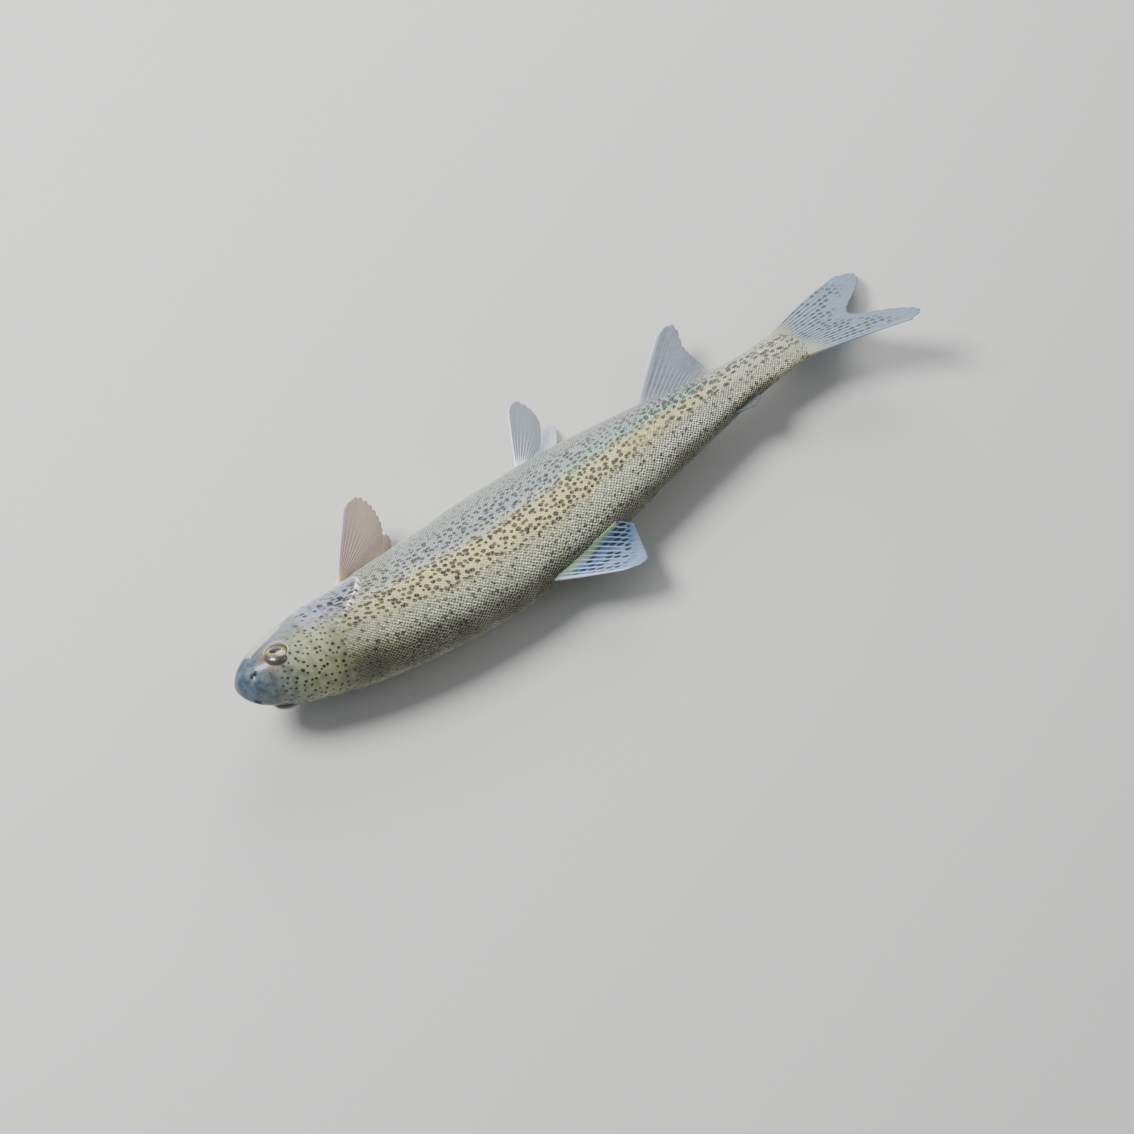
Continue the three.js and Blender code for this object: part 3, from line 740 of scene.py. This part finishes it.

# --- Eyes -------------------------------------------------------------------------------------
# A glassy ball sits deep in each side of the head and bulges a little out of its opening. It
# has no lid. The iris is a mottled golden brown, with painted shade over its upper part, round a
# pear-shaped pupil.
EYE_RINGS = 30
EYE_SPOKES = 72
PUPIL = 3.5
EYE_LEAN = 0.28                    # how far up the flank's curve it sits, as the sine of a turn
CORNEA = 0.0001
CORNEA_RADIUS = 0.003
EYE_COATS = {
    # outer: the iris's own dark edge, deepened with painted shade beside the socket's rim
    # upper: painted shade over the top of the iris
    "upper": (46, 44, 34, 0.35), "flecks": (48, 42, 28, 0.6), "outer": (34, 33, 29, 0.9),
    "ring": (206, 180, 116, 0.8), "pupil": (8, 8, 10, 1),
}


def eye_points(side):
    """Rings of points over the eyeball, from the middle of its outer face to its back."""
    flank = section(EYE["along"], math.asin(EYE_LEAN))[0]
    centre = np.array([EYE["along"] * LENGTH, side * (flank - EYE["sunk"]),
                       EYE["up"] * LENGTH])
    tilt = np.linspace(0, math.pi, EYE_RINGS + 2)[1:-1, None]
    spoke = np.linspace(0, 2 * math.pi, EYE_SPOKES, endpoint=False)[None, :]
    out = EYE["radius"] * np.sin(tilt)
    depth = EYE["half_depth"] * np.cos(tilt) + CORNEA * near(out, CORNEA_RADIUS) * (tilt < 1)
    ball = np.stack([out * np.cos(spoke), side * (depth + 0 * spoke), out * np.sin(spoke)], -1)
    poles = np.array([[0, side * (EYE["half_depth"] + CORNEA), 0], [0, -side * EYE["half_depth"], 0]])
    return np.concatenate([ball.reshape(-1, 3), poles]), centre


eye_finish, eye_shader = new_finish("wet_eye", roughness=0.35, coat_weight=0.8, coat_roughness=0.06)
wire = Wire(eye_finish.node_tree)
gaze = wire.attribute("gaze", "Vector")
gaze_x, gaze_z = gaze.part("X"), gaze.part("Z")
out = (gaze_x * gaze_x + gaze_z * gaze_z).math("SQRT")
forward = (0 - gaze_x).math("MAXIMUM", 0.0)
pupil_out = out - forward * forward / (out + 0.4) * 0.22
streaks = wire.node("ShaderNodeCombineXYZ", {0: gaze_z.math("ARCTAN2", gaze_x) * 7.0, 1: out * 0.5})
iris = streaks.noise(1.0, 4, 0.65).between(0.3, 0.72).mixed(colour(96, 86, 56), colour(176, 156, 104))
areas = {
    # Painted shade over the upper part of the iris.
    "upper": gaze_z.between(0.5, 5.0),
    "flecks": gaze.noise(1.4, 3).between(0.52, 0.7),
    # The iris's own dark edge, partly painted shade beside the socket's rim.
    "outer": out.between(5.6, 6.9),
    "ring": 1 - (pupil_out - PUPIL - 0.35).math("ABSOLUTE").between(0.1, 0.4),
    "pupil": 1 - pupil_out.between(PUPIL - 0.15, PUPIL + 0.1),
}
feed(eye_shader, "Base Color", painted(iris, EYE_COATS, areas))
feed(eye_shader, "Metallic", (1 - areas["pupil"]) * (1 - out.between(5.4, 6.6)) * 0.45)
eye_faces = ring_faces(EYE_RINGS, EYE_SPOKES)
for side_name, side in (("right", 1), ("left", -1)):
    ball, centre = eye_points(side)
    eye_mesh = mesh_from("eye_" + side_name, posed(ball + centre),
                         eye_faces if side > 0 else [face[::-1] for face in eye_faces])
    store(eye_mesh, "gaze", ball * IN_MM)
    eye_mesh.materials.append(eye_finish)
    eye = add_object("eyeball_" + side_name, eye_mesh)
    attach(eye, "root")
    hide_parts("eye_" + side_name)

# --- Scales -----------------------------------------------------------------------------------
# Thin round-ended plates of bone grow in oblique rows from the skin, each over the two behind
# it. Their rows run along the lateral line and end at the ridge of the back and the belly.
SCALE_LENGTH = 0.0035
SCALE_WIDTH = 0.0030
SCALE_THICKNESS = 0.00012
SCALE_TILT = 0.105
SCALE_ROOT_DEPTH = 0.00013
SCALE_DOME = 0.00010
RING_STEP = 0.00138
ROW_STEP = 0.0025
SCALES_FROM = 0.140
SCALES_TO = 1.012
SCALE_SIZES = curve_through([[0.14, 0.78], [0.24, 1.0], [0.62, 1.0], [0.88, 0.82], [1.03, 0.7]])
LATERAL_LINE = curve_through([[0.16, 0.036], [0.3, 0.023], [0.5, 0.010], [0.75, 0.002], [1.03, 0]])
PATCH_SIZE = 0.003
SCATTER = 0.08                     # how uneven the rows are, as a share of their steps
MOST_SCALES = 4700                 # in one piece
MIDDLE_GAP = 0.6                   # of a row, that is wide enough for a scale on the middle line
SCALE_VARIATION = (0.94, 1.06)
NAPE_LINE = {"above": 0.03, "from": 0.142, "slant": 0.35, "top": 0.062, "side": 0.155}
BREAST_LINE = {"below": -0.045, "from": 0.232}
COVER_CLEAR = 0.0016
NUDGE = 0.002                      # for the slope of the skin, in share and in turn
SMALL_STEP = 0.0005                # for the turn that the pose gives to each scale


def scale_shape():
    """One scale, rooted at nothing and pointing along x, with its face domed a little."""
    side = [(0.0, 0.22), (0.12, 0.40), (0.38, 0.5), (0.68, 0.46), (0.88, 0.30)]
    rim = [(x, -y) for x, y in side] + [(1.0, 0.0)] + side[::-1]
    top = [(x, y, 0.0) for x, y in rim] + [(0.62, 0.0, SCALE_DOME)]
    bottom = [(x, y, -SCALE_THICKNESS) for x, y in rim]
    count = len(rim)
    faces = [(k, (k + 1) % count, count) for k in range(count)]
    faces += [(count + 1 + k, count + 1 + (k + 1) % count, (k + 1) % count, k) for k in range(count)]
    faces.append(tuple(count + 1 + k for k in reversed(range(count))))
    leaf = np.array(top + bottom)
    points = leaf * (SCALE_LENGTH, SCALE_WIDTH, 1)
    points[:, 2] += points[:, 0] * SCALE_TILT - SCALE_ROOT_DEPTH + SCALE_THICKNESS
    mesh = mesh_from("scale", points, faces)
    mesh.polygons.foreach_set("use_smooth", [k < count for k in range(len(faces))])
    store(mesh, "leaf", leaf * (1, 1, 0))
    return add_object("scale", mesh)


def scale_roots():
    """Where each scale grows: share, turn, size, whether it is on the lateral line, its part of
    the girth and its distance round from the ridge of the back."""
    chance = np.random.default_rng(5)
    roots = []
    share = SCALES_FROM
    ring = 0
    while share < SCALES_TO:
        size = float(SCALE_SIZES(share))
        fine, run = girth_run(share)
        girth = run[-1]
        up_flank = fine < math.pi / 2
        height = section(share, fine[up_flank])[1]
        line = np.interp(float(LATERAL_LINE(share)) * LENGTH, height, run[up_flank])
        row = ROW_STEP * size
        numbers = np.arange(math.ceil(-line / row), math.floor((girth / 2 - line) / row) + 1)
        flank = line + (numbers + 0.5 * (ring % 2)) * row
        flank = flank[(flank > 0) & (flank < girth / 2)]
        places = np.concatenate([flank, girth - flank])
        is_line = np.abs(np.minimum(places, girth - places) - line) < row / 4
        places = np.append(places, [girth / 2] if girth / 2 - flank[-1] > MIDDLE_GAP * row else [])
        places = np.append(places, [0.0] if flank[0] > MIDDLE_GAP * row else [])
        is_line = np.append(is_line, np.zeros(len(places) - len(is_line), bool))
        shares = share + chance.normal(0, SCATTER * RING_STEP, len(places)) / LENGTH
        places = places + chance.normal(0, SCATTER * row, len(places))
        sizes = size * chance.uniform(*SCALE_VARIATION, len(places))
        roots.append(np.stack([shares, np.interp(places, run, fine), sizes, is_line,
                               places / girth % 1, places - girth / 2], 1))
        share += RING_STEP * size / LENGTH
        ring += 1
    return np.concatenate(roots)


def is_scaled(share, upward):
    """Behind the nape and the gill covers, and off the throat."""
    x, z = share, upward / LENGTH
    slanted = NAPE_LINE["from"] + NAPE_LINE["slant"] * np.maximum(0, NAPE_LINE["top"] - z)
    starts = np.where(z > NAPE_LINE["above"], slanted, NAPE_LINE["side"])
    starts = np.where(z < BREAST_LINE["below"], BREAST_LINE["from"], starts)
    return (inside_outline(x, z, cover_outline) < -COVER_CLEAR) & (x > starts)


def surface(share, turn):
    across, upward = section(share, turn)
    return np.stack([share * LENGTH, across, upward], -1)


roots = scale_roots()
roots = roots[is_scaled(roots[:, 0], section(roots[:, 0], roots[:, 1])[1])]
root_share, root_turn, root_size, root_line, root_part, root_round = roots.T
root_plain = surface(root_share, root_turn)
rearward = surface(root_share + NUDGE, root_turn) - surface(root_share - NUDGE, root_turn)
upward_run = surface(root_share, root_turn + NUDGE) - surface(root_share, root_turn - NUDGE)
outward = unit(np.cross(upward_run, rearward))
rearward = unit(rearward)
sideways = np.cross(outward, rearward)
root_skin = root_plain - outward * COAT_DEPTH
root_posed = posed(root_skin)
posed_lie = posed(root_skin + rearward * SMALL_STEP) - root_posed
posed_side = posed(root_skin + sideways * SMALL_STEP) - root_posed
run = (root_size * SCALE_LENGTH)[:, None] * IN_MM
reach = (root_size * SCALE_WIDTH)[:, None] * IN_MM
nothing = 0 * root_round
for_placing = {"out": unit(np.cross(posed_lie, posed_side)), "lie": unit(posed_lie), "size": root_size}
for_painting = {
    "root": root_plain * IN_MM, "rear": rearward * run, "side": sideways * reach,
    "stretch": np.concatenate([run, -reach, 0 * run], 1),
    "patch": np.stack([root_share / FLESH_END, root_part, nothing], -1) * UNWRAP_SPAN + UNWRAP_LOW,
}
kept = {
    "chart": np.stack([root_plain[:, 0], root_round, nothing], -1) * IN_MM,
    "line": root_line, "lot": np.random.default_rng(11).random(len(root_share)),
    "rise": rise_of(root_plain),
}


def scale_tree(material):
    """Geometry Nodes that set a scale on each root, turned to its lie, and paint its patch."""
    tree = bpy.data.node_groups.new("scale_coat", "GeometryNodeTree")
    for name, kind in (("Roots", "Geometry"), ("Scale", "Object"), ("Patch", "Float")):
        tree.interface.new_socket(name, in_out="INPUT", socket_type="NodeSocket" + kind)
    tree.interface.new_socket("Coat", in_out="OUTPUT", socket_type="NodeSocketGeometry")
    given = Wire(tree).node("NodeGroupInput")

    def named(name, kind="FLOAT_VECTOR"):
        return given.node("GeometryNodeInputNamedAttribute", {"Name": name}, data_type=kind)

    shape = given.node("GeometryNodeObjectInfo", {"Object": given.output("Scale")}, output="Geometry")
    turned = given.node("FunctionNodeAxesToRotation", {0: named("out"), 1: named("lie")},
                        primary_axis="Z", secondary_axis="X")
    placed = given.node("GeometryNodeInstanceOnPoints", {
        "Points": given, "Instance": shape, "Rotation": turned, "Scale": named("size", "FLOAT")})
    coat = given.node("GeometryNodeRealizeInstances", {0: placed})
    leaf = named("leaf")
    place = named("root").vector_math("ADD", named("rear").scaled(leaf.part("X")))
    place = place.vector_math("ADD", named("side").scaled(leaf.part("Y")))
    chart = named("chart").vector_math("ADD", leaf.vector_math("MULTIPLY", named("stretch")))
    centred = leaf.vector_math("SUBTRACT", (0.5, 0.0, 0.0))
    patch = named("patch").vector_math("ADD", centred.scaled(given.output("Patch")))
    for name, value, kind, domain in (("place", place, "FLOAT_VECTOR", "POINT"),
                                      ("chart", chart, "FLOAT_VECTOR", "POINT"),
                                      ("OFBake", patch, "FLOAT2", "CORNER")):
        coat = given.node("GeometryNodeStoreNamedAttribute",
                          {"Geometry": coat, "Name": name, "Value": value}, data_type=kind, domain=domain)
    coat = given.node("GeometryNodeSetMaterial", {"Geometry": coat, "Material": material})
    tree.links.new(coat.socket, tree.nodes.new("NodeGroupOutput").inputs["Coat"])
    return tree


# Each scale has a dark heart, from its root to well along it, and a pale rim. The heart lies a little
# to one side, so that the rim is wider along one edge: a painted highlight on each scale's edge. Its
# heart is larger where the net of scales is strong. Scales on the lateral line have a pore.
HEART_END = 0.64
# How far the heart lies to one side, for the painted highlight along one edge of each scale's rim.
HEART_SHIFT_FOR_RIM_HIGHLIGHT = 0.07
HEART_EDGE = (0.055, 0.11)
GROWTH_RINGS = 60
SCALE_COATS = {"spots": (14, 13, 6, 1), "pore": (70, 70, 66, 0.6)}
scale_finish, scale_shader = new_finish("wet_scales", roughness=0.32, ior=1.36, coat_weight=0.5,
                                        coat_roughness=0.1, coat_ior=WATER)
wire = Wire(scale_finish.node_tree)
pale, dark, net, spots, silver = markings(wire)[:5]
leaf = wire.attribute("leaf", "Vector")
leaf_x, leaf_y = leaf.part("X"), leaf.part("Y")
lot = wire.attribute("lot")
behind = (leaf_x - HEART_END).math("MAXIMUM", 0.0)
# The heart is shifted to one side, which leaves a painted highlight along one edge of the rim.
beside = leaf_y - HEART_SHIFT_FOR_RIM_HIGHLIGHT
from_middle = behind * behind * 1.5 + beside * beside * 1.6
heart = 1 - (from_middle / (0.4 + 0.4 * lot + 0.8 * net)).between(*HEART_EDGE)
areas = {"spots": spots * (0.8 + 0.18 * lot),
         "pore": wire.attribute("line") * (1 - from_middle.between(0.004, 0.02))}
scale_colour = (heart * (0.6 + 0.4 * net)).mixed(pale, dark)
feed(scale_shader, "Base Color", painted(scale_colour, SCALE_COATS, areas))
feed(scale_shader, "Metallic", silver)
growth = ((leaf_x * leaf_x + leaf_y * leaf_y) * GROWTH_RINGS).math("SINE")
feed(scale_shader, "Normal", growth.bump(0.15, 0.0001))

scale_object = scale_shape()
coat_tree = scale_tree(scale_finish)
pieces = math.ceil(len(root_share) / MOST_SCALES)
for piece in range(pieces):
    part = slice(piece * len(root_share) // pieces, (piece + 1) * len(root_share) // pieces)
    root_mesh = mesh_from("scale_roots", root_posed[part], [])
    for name, values in {**for_placing, **for_painting, **kept}.items():
        store(root_mesh, name, values[part])
    root_object = add_object("scale_roots", root_mesh)
    coat = root_object.modifiers.new("coat", "NODES")
    coat.node_group = coat_tree
    values = {"Scale": scale_object, "Patch": PATCH_SIZE}
    for item in coat_tree.interface.items_tree:
        if item.in_out == "INPUT" and item.name in values:
            coat[item.identifier] = values[item.name]
    evaluated = root_object.evaluated_get(bpy.context.evaluated_depsgraph_get())
    coat_mesh = bpy.data.meshes.new_from_object(evaluated)
    bpy.data.objects.remove(root_object)
    coat_points = np.zeros(len(coat_mesh.vertices) * 3, np.float32)
    coat_mesh.vertices.foreach_get("co", coat_points)
    coat_points[2::3] = np.maximum(coat_points[2::3], 0)
    coat_mesh.vertices.foreach_set("co", coat_points)
    for name in (*for_placing, *for_painting):
        coat_mesh.attributes.remove(coat_mesh.attributes[name])
    scales = add_object(f"scales_{piece + 1}", coat_mesh)
    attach(scales, "root")
bpy.data.objects.remove(scale_object)

# --- Fins -------------------------------------------------------------------------------------
# Each fin is a thin wet web over jointed rays, which branch towards its edge. It grows from a
# fleshy root. The back, fat and tail fins are spotted, and the others plain.
RAY_DETAIL = 10
OUT_STEPS = 44
WEB = 0.00028
RAY_HEIGHT = 0.0005
LEAD_RAY_HEIGHT = 0.0006
RAY_WIDTH = 0.13                   # of the space between two rays, at the root
RAY_FORKS = ((0.22, 0.42, 0.8), (0.11, 0.66, 0.98))  # how far apart, and where it starts and ends
NOTCH = 0.022                      # how far the edge draws in between the rays
FIN_SHARE = 0.98                   # of the solid fin's length, as its edge is thinner
USUAL_FIN = {"rays": 14, "bow": 0.04, "sunk": 0.012, "root": 0.004, "wave": 0.001}
FINS = {
    "dorsal_fin": {
        "front": [0.459, -0.004, 0.1035], "rear": [0.593, 0.002, 0.0905],
        "lead": [0.87, -0.16, 0.46], "trail": [0.69, -0.66, 0.12],
        "lengths": [[0, 0.101], [0.04, 0.113], [0.1, 0.120], [0.2, 0.118], [0.45, 0.1], [0.8, 0.056],
                    [1, 0.024]],
        "rays": 13, "bow": 0.01, "root": 0.005, "wave": 0.0012,
    },
    "adipose_fin": {
        "front": [0.838, 0, 0.0515], "rear": [0.866, 0, 0.048],
        "lead": [0.93, 0, 0.36], "trail": [1, 0, 0.02],
        "lengths": [[0, 0.04], [0.4, 0.042], [1, 0.03]],
        "rays": 0, "bow": 0, "sunk": 0.006, "root": 0.0026, "wave": 0.0,
    },
    "anal_fin": {
        "front": [0.75, 0.002, -0.0705], "rear": [0.838, 0.002, -0.054],
        "lead": [0.77, 0.43, -0.47], "trail": [0.95, 0.12, -0.28],
        "lengths": [[0, 0.13], [0.14, 0.15], [0.45, 0.1], [1, 0.05]],
        "rays": 12, "bow": 0.05,
    },
    "caudal_fin": {
        "front": [1.004, 0, 0.05], "rear": [1.004, 0, -0.047],
        "lead": [0.92, 0, 0.39], "trail": [0.92, 0, -0.39],
        "lengths": [[0, 0.172], [0.1, 0.195], [0.5, 0.112], [0.9, 0.195], [1, 0.172]],
        "rays": 19, "bow": 0, "sunk": 0.01, "root": 0.005, "wave": 0.0012,
    },
    "pectoral_fin_right": {
        "front": [0.208, 0.043, -0.066], "rear": [0.218, 0.031, -0.079],
        "lead": [0.6, 0.31, -0.74], "trail": [0.93, -0.2, -0.3],
        "lengths": [[0, 0.126], [0.2, 0.151], [0.6, 0.129], [1, 0.086]],
        "root": 0.0045,
    },
    "pectoral_fin_left": {
        "front": [0.208, -0.043, -0.066], "rear": [0.218, -0.031, -0.079],
        "lead": [0.72, 0.27, -0.64], "trail": [0.97, 0.13, -0.2],
        "lengths": [[0, 0.14], [0.2, 0.152], [0.6, 0.115], [1, 0.06]],
        "bow": 0.06, "root": 0.0045,
    },
    "pelvic_fin_right": {
        "front": [0.541, 0.02, -0.0915], "rear": [0.562, 0.01, -0.094],
        "lead": [0.47, 0.52, -0.71], "trail": [0.81, -0.27, -0.52],
        "lengths": [[0, 0.089], [0.2, 0.109], [0.6, 0.099], [1, 0.052]],
        "rays": 10,
    },
    "pelvic_fin_left": {
        "front": [0.541, -0.02, -0.0915], "rear": [0.562, -0.01, -0.094],
        "lead": [0.78, 0.06, -0.62], "trail": [0.98, 0.02, -0.18],
        "lengths": [[0, 0.112], [0.2, 0.122], [0.6, 0.09], [1, 0.05]],
        "rays": 10,
    },
}


def fin_middle(fin, u, v):
    """The fin's middle sheet on the straight fish: u from first ray to last, v from root out."""
    lead, trail, front, rear = [np.array(fin[key], float) for key in ("lead", "trail", "front", "rear")]
    lead, trail = unit(lead), unit(trail)
    direction = unit(lead + (trail - lead) * u[..., None])
    length = curve_through(fin["lengths"])(np.clip(u, 0, 1))
    phase = u * max(fin["rays"] - 1, 1)
    notch = 1 - NOTCH * (2 * np.abs(phase - np.round(phase))) ** 2 if fin["rays"] else 1.0
    reach = length * FIN_SHARE * notch + fin["sunk"]
    point = front + (rear - front) * u[..., None] + direction * (reach * v - fin["sunk"])[..., None]
    point[..., 0] += fin["bow"] * reach * v * v
    return point * LENGTH


def ray_ridge(phase, v):
    """How proud the rays stand: each is one ridge that parts into two, then four."""
    ridge = np.zeros(phase.shape)
    first, second = [apart * smooth(start, end, v) for apart, start, end in RAY_FORKS]
    offset = phase - np.round(phase)
    for one in (-1, 1):
        for two in (-1, 1):
            width = RAY_WIDTH - 0.05 * v
            ridge = np.maximum(ridge, near(offset - one * first - two * second, width))
    return ridge


def fin_mesh(name, fin):
    columns = max(fin["rays"] - 1, 4) * RAY_DETAIL + 1
    u, v = np.meshgrid(np.linspace(0, 1, columns), np.linspace(0, 1, OUT_STEPS), indexing="ij")
    middle = fin_middle(fin, u, v)
    small = 0.01
    outward = fin_middle(fin, u, v + small) - fin_middle(fin, u, v - small)
    normal = unit(np.cross(outward, np.gradient(middle, axis=0)))
    phase = u * max(fin["rays"] - 1, 1)
    rim = np.minimum(1, 0.35 + 9 * np.minimum(u, 1 - u))
    thickness = WEB + (fin["root"] - WEB) * rim * (1 - v) ** 3
    if fin["rays"]:
        thickness = thickness + RAY_HEIGHT * ray_ridge(phase, v) * (1 - 0.55 * v)
        thickness += LEAD_RAY_HEIGHT * near(u, 0.03) * (1 - 0.5 * v)
    wave = fin["wave"] * np.sin(2.2 * math.pi * u + 1.3 * v) * v ** 1.5
    middle = middle + normal * wave[..., None]
    sides = np.stack([middle + normal * (thickness / 2)[..., None],
                      middle - normal * (thickness / 2)[..., None]])
    count = columns * OUT_STEPS
    grid = np.arange(count).reshape(columns, OUT_STEPS)
    a, b, c, d = grid[:-1, :-1], grid[:-1, 1:], grid[1:, 1:], grid[1:, :-1]
    faces = np.stack([a, b, c, d], -1).reshape(-1, 4).tolist()
    faces += (np.stack([a, d, c, b], -1).reshape(-1, 4) + count).tolist()
    edge = list(grid[:, 0]) + list(grid[-1, 1:]) + list(grid[-2::-1, -1]) + list(grid[0, -2:0:-1])
    for i, j in zip(edge, edge[1:] + edge[:1]):
        faces.append((i, j, j + count, i + count))
    points = posed(sides.reshape(-1, 3))
    points[:, 2] = np.maximum(points[:, 2], 0)
    mesh = mesh_from(name, points, faces)
    length = curve_through(fin["lengths"])(u) * LENGTH * IN_MM
    for key, values in (("phase", phase), ("spread", u), ("reach", v * length), ("out", v)):
        store(mesh, key, np.tile(values.ravel(), 2))
    return mesh


BRANCHES = 4                       # of each ray, at the fin's edge
JOINT_LENGTH = 1.1                 # of a ray, in millimetres
SPOT_ROW = 5.2                     # from one row of spots to the next


def fin_finish(name, web, ray, root, lead, spot=None, spot_share=0.8, clear=0.25):
    """A translucent web between jointed rays, with or without rows of dark spots."""
    material, shader = new_finish(name, roughness=0.42, ior=WATER, coat_weight=0.25,
                                  coat_roughness=0.2, coat_ior=WATER)
    wire = Wire(material.node_tree)
    phase, spread, reach, out = [wire.attribute(key) for key in ("phase", "spread", "reach", "out")]
    cell = phase.math("FLOOR")
    in_cell = phase - cell
    on_ray = 1 - in_cell.math("MINIMUM", 1 - in_cell).between(0.06, 0.2)
    branched = out.between(0.35, 0.75)
    branches = (phase * (2 * BRANCHES * math.pi)).math("COSINE") * 0.5 + 0.5
    on_ray = on_ray * (1 - branched) + branches * branched * 0.7
    joints = (reach / JOINT_LENGTH).math("FRACT").between(0.0, 0.3)
    grain = wire.node("ShaderNodeCombineXYZ", {0: phase, 1: reach * 0.2})
    coats = {"ray": (*ray, 0.8), "joints": (*web, 0.35), "grain": (*lead, 0.25)}
    areas = {"ray": on_ray, "joints": (1 - joints) * on_ray, "grain": grain.noise(0.8, 3),
             "lead": 1 - spread.between(0.0, 0.07), "root": 1 - out.between(0.04, 0.3)}
    if spot:
        dice = wire.node("ShaderNodeTexWhiteNoise", {"W": cell}, noise_dimensions="1D")
        row = reach / SPOT_ROW + dice * 0.9
        step = row.math("FLOOR")
        draw = wire.node("ShaderNodeTexWhiteNoise",
                         {0: wire.node("ShaderNodeCombineXYZ", {0: cell, 1: step})}, noise_dimensions="2D")
        dy = (row - step - 0.5) * SPOT_ROW
        dx = (in_cell - 0.5) * 2.5
        away = dy * dy * 0.26 + dx * dx + (grain.noise(0.5, 2) - 0.5) * 1.2
        blot = (1 - away.between(0.55, 1.35)) * draw.math("LESS_THAN", spot_share)
        areas["spot"] = blot * (1 - out.between(0.7, 0.9))
        coats["spot"] = (*spot, 0.92)
    coats |= {"lead": (*lead, 1), "root": (*root, 1)}
    feed(shader, "Base Color", painted(colour(*web), coats, areas))
    thick = (on_ray * 0.6 + (1 - out.between(0.05, 0.4))).math("MINIMUM", 1.0)
    feed(shader, "Alpha", thick * clear + (1 - clear))
    feed(shader, "Normal", (on_ray + joints * 0.3).bump(0.4, 0.0003))
    return material


fin_finishes = {
    "dorsal_fin": fin_finish("dorsal_web", web=(30, 66, 116), ray=(198, 224, 248), root=(160, 182, 140),
                             lead=(190, 212, 240), spot=(26, 38, 44), spot_share=0.7, clear=0.12),
    "adipose_fin": fin_finish("adipose_web", web=(38, 48, 52), ray=(70, 82, 88), root=(84, 92, 80),
                              lead=(34, 40, 42), spot=(24, 28, 26), spot_share=0.5, clear=0.05),
    "caudal_fin": fin_finish("tail_web", web=(70, 86, 102), ray=(158, 176, 192), root=(138, 140, 114),
                             lead=(118, 134, 154), spot=(48, 56, 60), spot_share=0.6, clear=0.2),
    "anal_fin": fin_finish("anal_web", web=(74, 80, 98), ray=(136, 140, 154), root=(150, 154, 158),
                           lead=(214, 216, 226), clear=0.15),
    "pectoral": fin_finish("pectoral_web", web=(120, 98, 74), ray=(198, 180, 150),
                           root=(222, 196, 150), lead=(196, 190, 214)),
    "pelvic": fin_finish("pelvic_web", web=(124, 132, 152), ray=(226, 234, 244),
                         root=(248, 252, 254), lead=(236, 240, 246)),
}
for node_name, fin in FINS.items():
    made = add_object(node_name.replace("fin", "web"), fin_mesh(node_name + "_web", {**USUAL_FIN, **fin}))
    key = node_name if node_name in fin_finishes else node_name.split("_")[0]
    made.data.materials.append(fin_finishes[key])
    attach(made, "root")
    "spotted_fin" if key in ("dorsal_fin", "adipose_fin", "caudal_fin") else "plain_fin"
    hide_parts(node_name)
